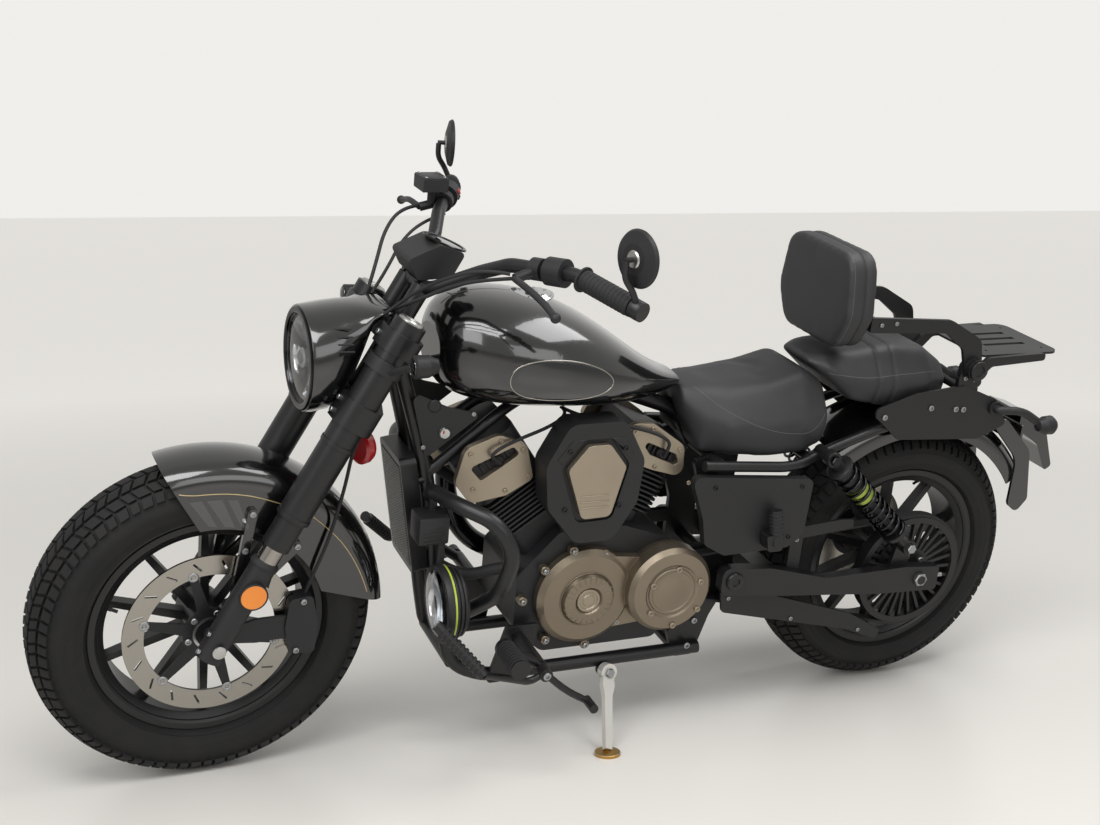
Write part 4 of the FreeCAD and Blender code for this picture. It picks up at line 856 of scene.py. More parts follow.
layBead("backrestPiping", "backrest", backrest, ringAround(238, padRows), 3.0, "seat leather", sink=0.2,
        closed=True)
layBead("backrestThread", "backrest", backrest, ringAround(266, [(y * 0.97, 925 + (z - 925) * 0.97) for y,
        z in padRows]), 1.2, "seat thread", sink=0.3, closed=True)
for sideName, side in sides.items():
    for name, seat, seam in (("riderSeam", rider, riderSeam), ("pillionSeam", pillion, pillionSeam)):
        layBead(name + sideName, "frame", seat, onSide(seat, side, seam), 1.4, "seat thread", sink=0.3)
for number, x in enumerate((150, 112)):
    points = [touch(pillion, (x, 0, 760), (0, cos(a), sin(a)))[0] for a in [radians(-20 + 220 * i / 12)
            for i in range(13)]]
    layBead("pillionStrapEdge" + str(number), "frame", pillion, points, 2.2, "seat leather", sink=0.2)
print("cushions made")


# Headlamp nacelle: a deep hood lofted back over the fork's top clamp, with the lamp set in its mouth.

# rows: x, half width, foot, top, squareness
nacelle = {"front": (1353.0, 0.0, 826.0), "points": 28, "rows": [(1352, 97, 729, 923, 2.1),
        (1338, 98, 728, 925, 2.1), (1312, 96, 733, 928, 2.2), (1288, 88, 752, 930, 2.3),
        (1266, 77, 794, 931, 2.4), (1250, 71, 842, 931, 2.4), (1236, 66, 892, 931, 2.4),
        (1218, 61, 908, 930, 2.4), (1196, 54, 916, 929, 2.4)]}


def ringAt(x, half, low, high, power):
    ring = []
    for i in range(nacelle["points"]):
        turn = 2 * pi * (i + 0.5) / nacelle["points"]
        c, s = cos(turn), sin(turn)
        y = half * abs(c) ** (2 / power) * (1 if c > 0 else -1)
        z = (low + high) / 2 + (high - low) / 2 * abs(s) ** (2 / power) * (1 if s > 0 else -1)
        ring.append(Vector((x, y, z)))
    return ring


def makeNacelle():
    shell = loftRings("headlampNacelle", [ringAt(*row) for row in nacelle["rows"]])
    mouth = turnPiece("mouth", [(0, -60), (30, -58), (58, -40), (78, -14), (81, -6), (81, 8), (0, 8)], steps=56,
            closed=False)
    placeLoose(mouth, facing(nacelle["front"], xAxis))
    applyModifier(shell, "BOOLEAN", operation="DIFFERENCE", object=mouth, solver="EXACT")
    bpy.data.objects.remove(mouth)
    easeEdges(shell, 1.6, segments=3)
    foot, toe = onFork(522.3, 0, -4), onFork(522.3, 0, 8)
    bracket = cutPlate("lampBracket", [(toe.x, toe.z), (1292, 770), (1300, 812), (1250, 800), (foot.x, foot.z)],
            28, corner=2, edge=1)
    placeLoose(bracket, facing((0, 14, 0), (0, -1, 0), across=xAxis))
    shell = joinPieces("headlampNacelle", [shell, bracket])
    settle(shell, "steering", "black lacquer", smooth=40, replaces=("headlamp_shell",))
    return shell


shell = makeNacelle()
turnAt("headlampBezel", [(81.5, -4), (92, -4), (95.5, 0.2), (93, 2.6), (86, 3.4), (82.5, 2), (81.5, -1)],
        nacelle["front"], xAxis, "steering", "black chrome", steps=72)
turnAt("headlampReflector", [(79.5, -9), (77, -16), (66, -32), (50, -46), (30, -55), (16, -57), (16, -59),
        (31, -57), (51, -48), (67.5, -33), (78.5, -17), (80.7, -9)], nacelle["front"], xAxis, "steering",
        "polished chrome", steps=64)
turnAt("headlampBulb", [(0, -59.5), (15.5, -59.5), (15.5, -54), (9, -51), (9, -44), (7.5, -30), (5, -25),
        (0, -24)], nacelle["front"], xAxis, "steering", "frosted bulb glass", steps=28, closed=False)
turnAt("headlampLens", [(80.8, -9), (80, -4.5), (62, 0.8), (31, 4.6), (0, 5.8), (0, 3), (30, 2), (60, -1.8),
        (77, -7)], nacelle["front"], xAxis, "steering", "clear lens polycarbonate", steps=72, closed=False,
        replaces=("headlamp_lens",))
spots = []
for side in (1, -1):
    for x, z in ((1302, 866), (1303, 878), (1304, 890), (1305, 902)):
        spot, normal = touch(shell, (x, side * 300, z), (0, -side, 0), "steering")
        spots.append(facing(spot + normal * 0.2, (0.05, 0, 1), across=(0.965, -0.26 * side, 0)))
settleEach("nacelleLouvres", makeBox("louvre", (50, 2.4, 3.2), 0.8), "steering", "moulded black plastic", spots)
print("headlamp made")


# The round lamp on the left guard bar, and the front and rear indicators.

auxLamp = {"centre": (1109.0, 156.0, 376.0), "podSize": Vector((60, 58, 56)), "podMiddle": (1122, 119, 522)}


def lampRod(name, length, at):
    return placeLoose(turnPiece(name, [(0, 0), (8, 0), (8, length), (0, length)], steps=24, closed=False),
            facing(at, zAxis))


def makeAuxLamp():
    rows = [(0, -46), (52, -46), (60, -43), (63, -38), (66.5, -37), (66.5, -33), (63.5, -32), (63.5, -29),
            (69.5, -28), (69.5, -24), (66.5, -23), (66.5, -20), (72.5, -19), (72.5, -15), (69.5, -14),
            (69.5, -11), (75.5, -10), (75.8, -2), (73, 3), (64, 3), (62, -4), (56, -24), (30, -34), (0, -36)]
    shell = turnPiece("auxLampShell", rows, steps=64, closed=False)
    placeLoose(shell, facing(auxLamp["centre"], xAxis))
    pod = placeLoose(makeBox("pod", auxLamp["podSize"], 5), Matrix.Translation(mm(auxLamp["podMiddle"])))
    whole = joinPieces("auxLampShell", [shell, pod, lampRod("stem", 60, (1100, 126, 440)),
            lampRod("hanger", 38, (1114, 104, 545))])
    settle(whole, "frame", "moulded black plastic", replaces=("aux_lamps",))


makeAuxLamp()
turnAt("auxLampReflector", [(61, 1), (54, -22), (30, -32.5), (0, -34.5), (0, -35.5), (30, -33.5), (55.4, -23),
        (62, 0)], auxLamp["centre"], xAxis, "frame", "polished chrome", steps=56, closed=False)
turnAt("auxLampGlass", [(63.8, 1), (63.8, 3.5), (50, 7), (25, 9.5), (0, 10.5), (0, 8), (25, 7), (50, 4.6),
        (62, 1)], auxLamp["centre"], xAxis, "frame", "clear lens polycarbonate", steps=56, closed=False)
turnAt("strip", [(72.8, -14.6), (73.6, -14.4), (73.6, -10.6), (72.8, -10.4)], auxLamp["centre"], xAxis, "frame",
        "yellow-green reflective film", steps=72)
settleEach("podLouvres", makeBox("podLouvre", (40, 2.2, 2.6), 0.8), "frame", "satin powder coat",
        [facing((1122, 148.2, z), (0.15, 0, 1), across=(1, 0, -0.15)) for z in (502, 510, 518, 526)])

# the middle of an indicator on the left, the way it faces, how deep its glass sits, its body and lens
lampTips = {"front": ((1192, 204, 874), xAxis, 17.0, "steering", "clear lens polycarbonate"),
            "rear": ((-258, 166, 650), -xAxis, 20.0, "frame", "smoked lens polycarbonate")}
for end, ((x, y, z), out, depth, body, lens) in lampTips.items():
    for sideName, side in sides.items():
        turnAt(end + "IndicatorDish" + sideName, [(0, depth + 0.4), (15.5, depth + 0.4), (15.5, depth + 0.9),
                (5, depth + 0.7), (0, depth + 0.7)], (x, y * side, z), out, body, "polished chrome", steps=32,
                closed=False)
        turnAt(end + "IndicatorLens" + sideName, [(16.6, depth - 1), (16.2, depth + 1.2), (9, depth + 1.8),
                (0, depth + 1.95), (0, depth + 1.2), (9, depth + 1.1), (15, depth + 0.95)], (x, y * side, z),
                out, body, lens, steps=32, closed=False)
print("lamps made")


# Handlebar: grip ribs, weights, switches, reservoir lid, instrument glass, mirrors.

barEnd, barBend = Vector((915, 420, 1040)), Vector((965, 300, 1060))
barAlong = (barEnd - barBend).normalized()
barLength = (barEnd - barBend).length
forkHalf = 108.0


def bothSides(places):
    return places + [(Vector((at[0], -at[1], at[2])), Vector((to[0], -to[1], to[2]))) for at, to in places]


def ringRow(name, rows, body, finish, places, steps=36, smooth=35):
    ring = turnPiece(name, rows, steps=steps)
    return settleEach(name, ring, body, finish, [facing(at, to) for at, to in places], smooth=smooth)


# The same place on the left and the right, each facing out.
def outward(x, y, z):
    return [((x, y, z), yAxis), ((x, -y, z), -yAxis)]


# Places on both fork legs, facing up them.
def onLegs(*heights):
    return [(onFork(height, side * forkHalf), forkUp) for height in heights for side in (1, -1)]


def evenAngles(count):
    return [2 * pi * i / count for i in range(count)]


gripAt = [barBend + barAlong * barLength * (0.2 + 0.065 * i) for i in range(12)]
ringRow("gripRibs", [(17.6, -2.4), (18.7, -1.8), (18.7, 1.8), (17.6, 2.4)], "steering", "grip rubber",
        bothSides([(at, barAlong) for at in gripAt]))
ringRow("gripFlanges", [(17.0, -2.5), (22.5, -2.0), (23.0, 0), (22.5, 2.0), (17.0, 2.5)], "steering",
        "grip rubber", bothSides([(barBend + barAlong * barLength * 0.145, barAlong)]))

innerBend = Vector((1032, 180, 1044))
innerAlong = (barBend - innerBend).normalized()
innerLength = (barBend - innerBend).length


def addSwitch(name, side, share, size, finish, out, up):
    at = innerBend + innerAlong * innerLength * share
    back = innerAlong.cross(zAxis).normalized()
    back = Vector((-abs(back.x), -abs(back.y) * side * 0.5, 0)).normalized()
    at = Vector((at.x, at.y * side, at.z)) + back * out + zAxis * up
    settle(makeBox(name, size, 1.6), "steering", finish, at=facing(at, back + zAxis * up / 25.0, across=yAxis))


addSwitch("leftDimmerSwitch", 1, 0.66, (12, 8, 8), "moulded black plastic", 23, 8)
addSwitch("leftIndicatorSwitch", 1, 0.75, (14, 7, 9), "moulded black plastic", 24, -2)
addSwitch("leftHornButton", 1, 0.81, (9, 9, 6), "moulded black plastic", 23, -10)
addSwitch("rightStopSwitch", -1, 0.70, (14, 9, 9), "red enamel", 23, 8)
addSwitch("rightStartButton", -1, 0.80, (10, 10, 6), "moulded black plastic", 23, -8)

lid = makeBox("reservoirLid", (51, 55, 5), 1.5)
settle(lid, "steering", "satin powder coat", at=Matrix.Translation(mm(1030, -234, 1100.2)))
ringRow("reservoirScrews", [(0.1, 0), (3.2, 0), (3.2, 1.4), (2.4, 2.2), (0.1, 2.2)], "steering",
        "zinc plated steel", [((x, y, 1102.4), zAxis) for x in (1011, 1049) for y in (-255, -213)], steps=12)
ringRow("barWeights", [(0.1, 22), (15.5, 22), (17.2, 18), (17.2, 2), (15, 0.6), (0.1, 0.6)], "steering",
        "satin powder coat", bothSides([(barEnd, barAlong)]), steps=32)
ringRow("riserCaps", [(0.1, 0), (13, 0), (13.6, 1), (12, 5), (6, 6.4), (0.1, 6.4)], "steering", "black chrome",
        [(onFork(750.2, side * 38, -16), forkUp) for side in (1, -1)], steps=24)
ringRow("forkTopCaps", [(0.1, 0), (25, 0), (25, 3), (22, 5.5), (15, 5.5), (13, 2.6), (0.1, 2.6)], "steering",
        "machined aluminium", onLegs(690), steps=32)
ringRow("stemNut", [(0.1, 0), (19, 0), (19, 8), (16, 10.5), (0.1, 10.5)], "steering", "black chrome",
        [(onFork(666, 0, -42), forkUp)], steps=6, smooth=20)
ringRow("forkCoverCollars", [(30.6, 0), (32.6, 0.8), (32.6, 9), (30.6, 10)], "steering", "satin powder coat",
        onLegs(276, 430), steps=40)
ringRow("forkDustSeals", [(20.8, 0), (26.4, 0), (27.4, 3), (26, 9), (22, 13), (20.8, 13)], "steering",
        "grip rubber", onLegs(172), steps=36)
ringRow("forkStanchions", [(20.55, 0), (20.8, 0.2), (20.8, 29.6), (20.55, 29.8)], "steering", "hard chrome",
        onLegs(184.6), steps=48)
ringRow("clampBolts", [(0.1, 0), (5.4, 0), (5.4, 4.6), (4.6, 5.6), (2.9, 5.6), (2.6, 2.6), (0.1, 2.6)],
        "steering", "zinc plated steel", [(onFork(d, side * 88, 33.6), forkAhead) for side in (1, -1)
        for d in (484, 510, 647)], steps=12)

glassFacing = Vector((-18, 0, 48)).normalized()
glassCentre = Vector((1087, 0, 1034.5))
turnAt("instrumentRing", [(36, 0), (43, 0), (43.5, 2.5), (41, 4), (37, 3.4), (36, 2)], glassCentre, glassFacing,
        "steering", "black chrome", steps=56)
turnAt("instrumentGlass", [(0.1, 0.4), (36.4, 0.4), (36.4, 1.8), (20, 2.6), (0.1, 2.8)], glassCentre,
        glassFacing, "steering", "dark instrument glass", steps=56)

mirrorFace = Vector((-1, -0.25, 0)).normalized()
mirrorAt = Vector((930, 428, 1124))
ringRow("mirrorGlasses", [(0.1, 12.2), (44.5, 12.2), (45.5, 13), (45, 14.3), (0.1, 14.3)], "steering",
        "mirror glass", bothSides([(mirrorAt, mirrorFace)]), steps=56)
ringRow("mirrorRims", [(45.4, 12), (48.7, 11.6), (48.7, 13), (47.4, 14.4), (45.4, 14.2)], "steering",
        "moulded black plastic", bothSides([(mirrorAt, mirrorFace)]), steps=56)
ringRow("mirrorPivots", [(0.1, -2.4), (13, -2.2), (15.5, 0.4), (15, 2.4), (0.1, 2.4)], "steering",
        "machined aluminium", bothSides([(mirrorAt + mirrorFace * 0.5, mirrorFace)]), steps=32)
print("handlebar dressed")


# Control cables in front of the head, from the levers into the nacelle, and the front brake hose.

hoseTop = onFork(471.7, 92, -40)
frontCables = {
    "clutchCable": (6.4, [(1052, 226, 1042), (1092, 206, 1046), (1142, 158, 1018), (1172, 92, 972), (1196, 66, 940),
                          (1214, 58, 922)]),
    "leftSwitchLead": (7.0, [(1008, 214, 1030), (1058, 168, 1016), (1112, 116, 990), (1160, 74, 950),
                             (1202, 48, 925)]),
    "throttleCable": (6.4, [(1006, -214, 1030), (1062, -176, 1028), (1122, -130, 1004), (1168, -76, 962),
                            (1204, -50, 926)]),
    "reservoirHose": (7.0, [(1060, -226, 1044), (1100, -204, 1046), (1150, -150, 1020), (1184, -92, 972),
                            (1206, -64, 930), (1216, -58, 918)]),
    "brakeHose": (7.0, [(1346, 74, 384.3), (1336, 84, 424), (1314, 88, 482), (1294, 84, 546), (1280, 86, 610),
                        hoseTop - forkUp * 36, hoseTop]),
}
for name, (diameter, points) in frontCables.items():
    layCable(name, "steering", diameter, points)
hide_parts("brake_hose")
print("cables laid")


# Front wheel and fork feet.

armAngles = [2 * pi * (i + 0.25) / 6 for i in range(6)]


def roundAxle(axle, y, radius, angles):
    return [(axle + yAxis * y + Vector((cos(a), 0, sin(a))) * radius, yAxis) for a in angles]


ringRow("discBobbins", [(3.4, 0), (9.5, 0), (9.5, 1.2), (8.2, 2.2), (4.8, 2.2), (3.4, 1.2)], "front_wheel",
        "zinc plated steel", roundAxle(frontAxle, 66.4, 124.0, armAngles), steps=20)
ringRow("discBolts", [(0.1, 0), (6.4, 0), (6.4, 4), (5.4, 5), (3.4, 5), (3.1, 2.2), (0.1, 2.2)], "front_wheel",
        "zinc plated steel", roundAxle(frontAxle, 66.4, 43.0, [a + 0.52 for a in armAngles]), steps=14)
turnAt("sensorRing", [(28, 0), (33, 0), (33, 1.6), (28, 1.6)], frontAxle + yAxis * 66.5, yAxis, "front_wheel",
        "machined aluminium", steps=60)
# name, body, axle, angle round it, distance from it, side of the rim
valveStems = [("frontValveStem", "front_wheel", frontAxle, 0.3, 190, 1),
              ("rearValveStem", "rear_wheel", rearAxle, 2.2, 186, -1)]
for name, body, axle, angle, distance, side in valveStems:
    out = Vector((cos(angle), 0, sin(angle)))
    ringRow(name, [(0.1, 0), (4.2, 0), (4.2, 12), (3.2, 14), (3.2, 24), (0.1, 25)], body, "grip rubber",
            [(axle + out * distance + yAxis * 22 * side, yAxis * 0.5 * side - out)], steps=12)
ringRow("pulleyBolts", [(0.1, 0), (8, 0), (8, 4), (6.8, 5.4), (4.2, 5.4), (3.8, 2.4), (0.1, 2.4)], "rear_wheel",
        "zinc plated steel", roundAxle(rearAxle, 119.8, 36.0, evenAngles(5)), steps=14)
ringRow("rearDiscBolts", [(0.1, 0), (6, 0), (6, 4), (5, 5), (0.1, 5)], "rear_wheel", "zinc plated steel",
        [(at, -yAxis) for at, to in roundAxle(rearAxle, -91.0, 35.0, evenAngles(5))], steps=14)
ringRow("frontAxleEnds", [(0.1, -0.5), (12.6, -0.5), (12.6, 1.6), (10.4, 2.8), (0.1, 2.8)], "steering",
        "machined aluminium", outward(1520, 139.2, 320), steps=32)
ringRow("axlePinchBolts", [(0.1, 0), (5.2, 0), (5.2, 4.5), (4.2, 5.4), (0.1, 5.4)], "steering",
        "zinc plated steel", [(onFork(d, side * 116, 24), forkAhead) for side in (1, -1) for d in (-20, 18)],
        steps=12)

for sideName, side in sides.items():
    leg = onFork(122)
    turnAt("reflectorRing" + sideName, [(23.5, 0), (26.2, 0), (26.8, 3), (26.4, 9.4), (24.6, 10), (23.5, 9)],
            (leg.x, side * 133.3, leg.z), (0, side, 0), "steering", "moulded black plastic", steps=48)

strapEnds = [(onFork(246, 0, 58), onFork(92, 0, 4)), (onFork(222, 0, -52), onFork(52, 0, -2))]
strapSpots = [top + (foot - top) * share for top, foot in strapEnds for share in (0.0, 0.45)]
sideScrews("strapBolts", "front_fender", "zinc plated steel", 6.0, 4.0, [(p.x, p.z) for p in strapSpots],
        both=True, body="steering", reach=88)
sideScrews("caliperBolts", "brake_caliper", "zinc plated steel", 6.0, 4.5, [(1352, 374), (1364, 272)],
        body="steering", reach=160)


# Gold pinstripes and the grey bands on the front fender's sides.

fenderStripe = {"front": [(1580, 611), (1561, 606), (1517, 606), (1480, 602), (1436, 591), (1395, 573)],
                "rear": [(1338, 543), (1293, 502), (1258, 452), (1232, 397), (1224, 370)],
                "bands": [[(1562, 594), (1540, 595), (1512, 540), (1527, 543)],
                          [(1531, 594), (1504, 594), (1480, 536), (1498, 539)],
                          [(1494, 592), (1476, 590), (1456, 536), (1468, 535)]]}
for sideName, side in sides.items():
    for part in ("front", "rear"):
        layBead(part + "Pinstripe" + sideName, "steering", "front_fender", onSide("front_fender", side,
                fenderStripe[part], "steering"), 2.6, "gold pinstripe enamel", sink=0.7)
    for number, band in enumerate(fenderStripe["bands"]):
        layFilm("fenderBand" + str(number) + sideName, "steering", "front_fender", band,
                "grey film under lacquer", thick=0.25, side=side, step=6.0)
print("front end dressed")


# Tank: a shallow blank plate on each side inside a thin bright bead, the filler's ring and lock.

tankPlate = [(1000, 815), (986, 843), (934, 855), (864, 847), (806, 825), (781, 800), (803, 779), (866, 770),
        (947, 776), (987, 790)]
for sideName, side in sides.items():
    layBead("tankBead" + sideName, "frame", "fuel_tank", onSide("fuel_tank", side, tankPlate), 3.0,
            "hard chrome", sink=0.6, closed=True)
    inner = [(886 + (x - 886) * 0.93, 812 + (z - 812) * 0.9) for x, z in tankPlate]
    layFilm("tankPlate" + sideName, "frame", "fuel_tank", inner, "dark instrument glass", thick=0.5, corner=9,
            side=side, step=9.0)
capUp = Vector((0.12, 0, 1)).normalized()
capSeat = Vector((905, 0, 924))
turnAt("fillerRing", [(38.6, 1), (43, 1), (43.4, 4), (41, 5.6), (38.6, 5)], capSeat + capUp * 1.5, capUp,
        "frame", "polished chrome", steps=56)
turnAt("fillerLock", [(0.1, 12), (12, 12), (12.4, 14.4), (9, 15.6), (0.1, 15.6)], capSeat, capUp, "frame",
        "machined aluminium", steps=32)
ringRow("fillerScrews", [(0.1, 0), (2.6, 0), (2.6, 1.6), (0.1, 2)], "frame", "zinc plated steel",
        [(capSeat + capUp * 10.6 + Vector((cos(a), sin(a), -0.12 * cos(a))) * 27, capUp)
        for a in evenAngles(6)], steps=10)
layBead("tankSeam", "frame", "fuel_tank", [touch("fuel_tank", (x, 0, 1200), (0, 0, -1))[0]
        for x in (1086, 1040, 985, 950)], 2.4, "black lacquer", sink=0.4)


# Engine: screws, caps, ribs in the heads' windows, the air cleaner's panel and ridges, radiator, plug leads.

crank = Vector((782, 0, 335))
generatorX, generatorZ = 782, 330


# A point given along and across the axis of a cylinder that leans by an angle.
def besideCylinder(angle, across, along, y=0.0):
    axis = Vector((sin(radians(angle)), 0, cos(radians(angle))))
    return crank + yAxis * y + axis * along - yAxis.cross(axis) * across


sideScrews("clutchCoverScrews", "engine_covers", "champagne enamel", 6.6, 5.0, [(595, 387), (543, 356),
        (542, 292), (595, 261), (650, 296), (649, 356)])
caseLugs = [(814, 432), (744, 418), (872, 395), (915, 332), (769, 217), (858, 238), (704, 262)]
ringRow("caseLugs", [(0.1, 0), (10, 0), (10, 15), (8.6, 16.6), (0.1, 16.6)], "frame", "bronze enamel",
        [((x, 95.1, z), yAxis) for x, z in caseLugs], steps=24)
ringRow("caseScrews", [(0.1, 0), (5.6, 0), (5.6, 4), (4.8, 5), (2.9, 5), (2.6, 2.2), (0.1, 2.2)], "frame",
        "zinc plated steel", [((x, 111.5, z), yAxis) for x, z in caseLugs], steps=12)
ringRow("rightCoverScrews", [(0.1, 0), (5.8, 0), (5.8, 4.6), (4.8, 5.6), (2.9, 5.6), (2.6, 2.4), (0.1, 2.4)],
        "frame", "zinc plated steel", [((660 + 68 * cos(a), -131.2, 340 + 68 * sin(a)), -yAxis)
        for a in evenAngles(7)], steps=12)
turnAt("clutchCap", [(0.1, 0), (50, 0), (52, 1.6), (50, 3.4), (46, 3.4), (44, 1.8), (30, 1.8), (28, 2.6),
        (0.1, 2.6)], (605, 148.8, 339), yAxis, "frame", "bronze enamel", steps=72)
turnAt("generatorCap", [(0.1, 0), (25, 0), (25.6, 1.4), (24, 3), (19, 3), (18, 1.4), (13, 1.4), (12, 2.6),
        (0.1, 2.6)], (generatorX, 130.8, generatorZ), yAxis, "frame", "champagne enamel", steps=56)
ringRow("generatorRings", [(56, 123.8), (59, 123.8), (59, 125.4), (57.4, 126.2), (56, 125.4)], "frame",
        "bronze enamel", [((generatorX, 0, generatorZ), yAxis)], steps=64)
settleEach("generatorGrooves", makeBox("generatorGrooves", (2.2, 26, 1.6), 0.5), "frame", "bronze enamel",
        [facing((generatorX + 41.5 * cos(a), 134.6, generatorZ + 41.5 * sin(a)), yAxis,
        across=(-sin(a), 0, cos(a))) for a in evenAngles(24)])

# angle of the cylinder, then (across, along) of its screws and of the corners of its window
headRows = {"front": (35.0, [(-66, 344), (-32, 409), (30, 394), (55, 350), (36, 296), (-16, 300)],
                      [(-48, 386), (44, 367), (46, 346), (-44, 348)]),
            "rear": (-26.0, [(-80, 340), (-44, 360), (36, 344), (64, 298), (4, 292), (-56, 288)],
                     [(-60, 331), (34, 333), (58, 312), (-20, 310)])}
for name, (angle, screws, window) in headRows.items():
    screws = [besideCylinder(angle, a, b) for a, b in screws]
    sideScrews(name + "HeadScrews", "champagne_covers", "champagne enamel", 4.6, 3.6,
            [(p.x, p.z) for p in screws], both=True, reach=140)
    middle = [sum(c) / 4 for c in zip(*window)]
    ribs = [facing(besideCylinder(angle, middle[0] - 28 + 14 * i, middle[1] + 2 - 1.4 * i, 86.0), yAxis,
            across=besideCylinder(angle, 1, 0) - crank) for i in range(5)]
    settleEach(name + "WindowRibs", makeBox("rib", (5, 20, 8), 1.4), "frame", "moulded black plastic", ribs)
    plug = besideCylinder(angle, middle[0] + 6, middle[1], 84.5)
    turnAt(name + "SparkPlugCap", [(0.1, 0), (13, 0), (13, 7), (9, 10), (8, 12.5), (0.1, 13)], plug, yAxis,
            "frame", "grip rubber", steps=28)

layFilm("airCleanerPanel", "frame", "air_cleaner", [(862, 690), (752, 690), (730, 652), (738, 644), (786, 694),
        (830, 694), (880, 644), (890, 652)], "satin powder coat", thick=1.2, step=60)
sideScrews("airCleanerScrews", "air_cleaner", "black chrome", 5.4, 3.0, [(866, 668), (750, 668), (866, 548),
        (752, 548)])
settleEach("airPlateRidges", makeBox("airPlateRidge", (60, 3.4, 3.0), 1.2), "frame", "champagne enamel",
        [facing((808, 166.2, z), yAxis, across=xAxis) for z in (552, 564, 576)])

coreLow, coreHigh = Vector((1101, 0, 400)), Vector((1139, 0, 640))
coreUp = (coreHigh - coreLow).normalized()
coreOut = yAxis.cross(coreUp).normalized()
settleEach("radiatorFins", makeBox("radiatorFins", (118, 3.2, 1.0), 0.2), "frame", "machined aluminium",
        [facing(coreLow + coreUp * (16 + 5.2 * i) + coreOut * 32.2, coreUp, across=yAxis) for i in range(41)],
        smooth=0)
settleEach("radiatorTubes", makeBox("radiatorTubes", (2.6, 3.4, 214), 0.4), "frame", "satin powder coat",
        [facing(coreLow + coreUp * 120 + coreOut * 31.6 + yAxis * y, coreUp, across=yAxis)
        for y in range(-54, 55, 9)], smooth=0)
layCable("radiatorHose", "frame", 26, [(1112, -52, 612), (1096, -88, 612), (1062, -108, 566), (1010, -98, 520),
        (960, -70, 500)])
layCable("lowerHose", "frame", 24, [(1088, 40, 412), (1062, 52, 392), (1012, 60, 376), (960, 70, 392),
        (922, 80, 396)])
for name, angle, start in (("frontPlugLead", 35.0, (6, 356)), ("rearPlugLead", -26.0, (8, 321))):
    at = besideCylinder(angle, start[0], start[1], 97)
    lean = besideCylinder(angle, start[0] - 14, start[1] + 46, 112)
    layCable(name, "frame", 7, [at, (at.x, 108, at.z), lean, (830, 92, 712), (850, 60, 722)])
print("engine dressed")


# Key, covers, pegs, stand, axle nuts and the bolts of the frame, swingarm and rack.

turnAt("keyBarrel", [(0.1, 0), (11, 0), (11.4, 2), (9.4, 5.6), (3, 6), (0.1, 6)], (1090, 76.0, 690), yAxis,
        "frame", "machined aluminium", steps=32)
key = cutPlate("redKey", [(-7, -2), (7, -2), (8, 8), (6, 20), (0, 26), (-6, 20), (-8, 8)], 3.2, corner=2.5,
        edge=0.5)
settle(key, "frame", "red enamel", at=facing((1091.6, 80, 690), (1, 0, 0.1), across=(0, 0.2, 1)))
turnAt("neckCap", [(0.1, 0), (12, 0), (12.6, 1.6), (10, 3.6), (0.1, 3.6)], (1112, 76.0, 745), yAxis, "frame",
        "moulded black plastic", steps=36)
sideScrews("neckCoverScrews", "side_covers", "zinc plated steel", 4.4, 3.0, [(1130, 664), (1034, 724)],
        both=True, reach=90)
ringRow("pivotCaps", [(0.1, 0), (19, 0), (20, 2), (18, 6), (9, 7), (8, 4), (0.1, 4)], "frame",
        "satin powder coat", outward(468, 163, 352), steps=36)
shockNuts = {"shockTopNuts": ("black chrome", 275, 609), "shockFootNuts": ("zinc plated steel", 44, 387)}
for name, (finish, x, z) in shockNuts.items():
    ringRow(name, [(0.1, 0), (11, 0), (11, 7), (9.5, 8.6), (0.1, 8.6)], "frame", finish, outward(x, 169.5, z),
            steps=6, smooth=20)
ringRow("rearAxleNuts", [(9.6, 0), (16, 0), (16, 8), (14, 10), (9.6, 10)], "frame", "zinc plated steel",
        outward(0, 163.2, 306), steps=6, smooth=20)
ringRow("axleAdjusters", [(0.1, 0), (5, 0), (5, 20), (0.1, 20)], "frame", "zinc plated steel",
        [((-48, side * 150.5, 303), -xAxis) for side in (1, -1)], steps=12)
sideScrews("rackScrews", "rack", "zinc plated steel", 6.4, 4.6, [(134, 676), (19, 690), (-46, 684), (-66, 682)],
        both=True, reach=200)
sideScrews("earScrews", "rack", "zinc plated steel", 5.0, 4.0, [(-58, 752), (-82, 748)], both=True, reach=125)
ringRow("backrestKnobs", [(0.1, 0), (20, 0), (21.5, 2), (20.5, 5), (12, 6), (11, 3), (0.1, 3)], "backrest",
        "satin powder coat", outward(-69, 142, 776), steps=40)
sideScrews("armScrews", "backrest_arms", "zinc plated steel", 4.6, 3.4, [(150, 884), (186, 882)], both=True,
        body="backrest", reach=200)
sideScrews("framePlateScrews", "frame", "zinc plated steel", 7.0, 5.0, [(530, 182), (512, 232), (532, 584)],
        both=True, reach=134)
sideScrews("sideCoverScrews", "side_covers", "black chrome", 5.0, 2.6, [(540, 566), (336, 552), (352, 440)],
        both=True, reach=200)
sideScrews("guardScrews", "belt_guards", "zinc plated steel", 4.6, 3.2, [(462, 300), (300, 232), (120, 182),
        (316, 420)], reach=160)


# Places along a peg on both sides, from the first on, a step apart.
def alongPeg(start, end, first, step, count):
    along = (Vector(end) - Vector(start)).normalized()
    return bothSides([(Vector(start) + along * (first + step * i), along) for i in range(count)])


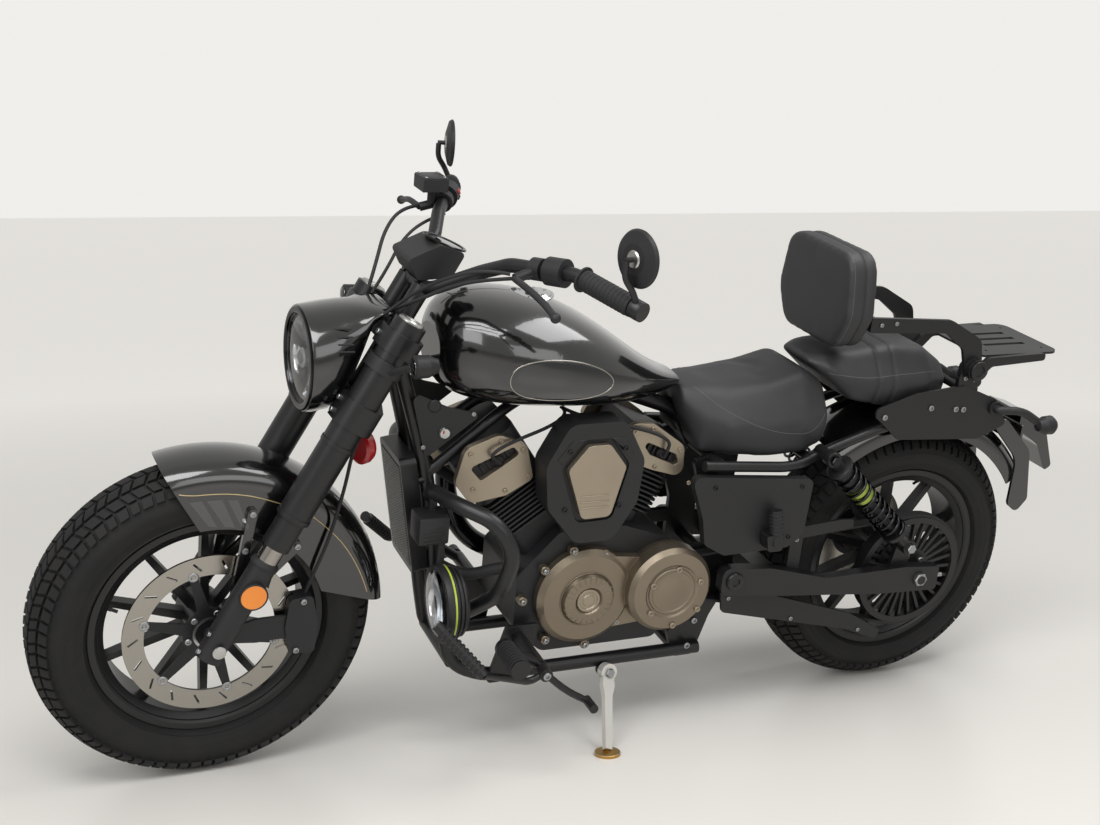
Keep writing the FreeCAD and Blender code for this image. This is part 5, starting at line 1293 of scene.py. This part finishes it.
ringRow("footPegRubbers", [(18.8, -2.6), (20.2, -2.0), (20.2, 2.0), (18.8, 2.6)], "frame", "grip rubber",
        alongPeg((1000, 236, 312), (1003, 330, 316), 14, 9, 9), steps=28)
ringRow("toePegRubbers", [(10.8, -3.2), (13.4, -2.4), (13.4, 2.4), (10.8, 3.2)], "frame", "grip rubber",
        alongPeg((1063, 300, 296), (1140, 240, 380), 14, 10.5, 10), steps=24)
ringRow("passengerPegRubbers", [(12.6, -2.4), (14.4, -1.8), (14.4, 1.8), (12.6, 2.4)], "frame", "grip rubber",
        alongPeg((402, 174, 512), (396, 187, 440), 8, 7.6, 7), steps=24)
ringRow("leverBosses", [(0.1, 0), (8, 0), (8, 4), (6.6, 5), (3.8, 5), (3.4, 2.2), (0.1, 2.2)], "frame",
        "zinc plated steel", outward(925, 276, 262), steps=14)

standPivot, standAxis = Vector((723, 134, 160)), Vector((-0.1, 1.0, 0.3)).normalized()
turnAt("standBolt", [(0.1, 9), (10, 9), (10, 15), (8.4, 17), (0.1, 17)], standPivot, standAxis, "side_stand",
        "zinc plated steel", steps=6, smooth=20)
floorUp = (leaned.inverted().to_3x3() @ zAxis).normalized()
ground = leaned.inverted() @ Vector((0, 0, 0)) * 1000
footAt = Vector((769, 262, 0))
footAt.z = ground.z - (floorUp.x * (footAt.x - ground.x) + floorUp.y * (footAt.y - ground.y)) / floorUp.z
turnAt("standFoot", [(0.1, 0.4), (26.2, 0.4), (26.2, 5.4), (25, 6.4), (0.1, 6.4)], footAt, floorUp,
        "side_stand", "gold anodised aluminium", steps=48)
print("rear and chassis dressed")


# Shock absorbers: eyes, damper, yellow-green collars and a black spring. Then the silencer's bands and end.

shockTop, shockFoot = Vector((275, 157, 609)), Vector((44, 157, 387))
shockAlong = (shockFoot - shockTop).normalized()
shockLength = (shockFoot - shockTop).length
# the spring starts below the upper eye and ends above the lower one by these distances
springTurns, springStart, springEnd = 11, 38, 62


# Both shocks' places, some way down from the upper eye.
def onShocks(distance):
    return [facing(Vector((shockTop.x, side * shockTop.y, shockTop.z)) + shockAlong * distance, shockAlong,
            across=yAxis) for side in (1, -1)]


turned = [place @ Matrix.Rotation(radians(90), 4, "Z") for place in onShocks(0)]
damperRows = [(0.1, 14), (12.4, 14), (12.4, 26), (25, 28), (29.5, 30), (29.5, 35), (26, 37), (21, 38), (20, 150),
              (9, 152), (9, shockLength - 62), (29, shockLength - 61), (29.5, shockLength - 52),
              (22, shockLength - 49), (15, shockLength - 40), (12.4, shockLength - 14), (0.1, shockLength - 14)]
bodies = [turnPiece("shockBodies", damperRows, steps=40)]
for end in (0, shockLength):
    eye = turnPiece("eye", [(6, -12.4), (16, -12.4), (17, -10), (17, 10), (16, 12.4), (6, 12.4)], steps=32)
    bodies.append(placeLoose(eye, facing((0, 0, end), yAxis)))
settle(repeatAt("shockBodies", joinPieces("shockBodies", bodies), turned), "frame", "satin powder coat",
        replaces=("shocks",))
collars = turnPiece("shockCollars", [(20, 96), (23.5, 97), (23.5, 112), (21, 113), (21, 118), (23.5, 119),
        (23.5, 134), (20, 135)], steps=40)
settleEach("shockCollars", collars, "frame", "yellow-green anodised aluminium", turned, smooth=35)
coil = windSpring("shockSprings", 24.6, 6.6, (shockLength - springEnd - springStart) / springTurns, springTurns)
settleEach("shockSprings", coil, "frame", "black chrome", onShocks(springStart), smooth=60)

mufflerStart, mufflerAlong = Vector((440, -200, 215)), Vector((-1, 0, 0.02))
ringRow("mufflerBands", [(52.2, 0), (53.6, 1), (53.6, 12), (52.2, 13)], "frame", "machined aluminium",
        [(mufflerStart + mufflerAlong.normalized() * d, mufflerAlong) for d in (140, 480)], steps=56)
turnAt("mufflerEnd", [(27.6, 0), (44, -3.4), (44.6, 0), (30, 6.4), (27.6, 6)], mufflerStart
        + mufflerAlong.normalized() * 556.5, mufflerAlong, "frame", "machined aluminium", steps=56)
print("shocks and muffler dressed")
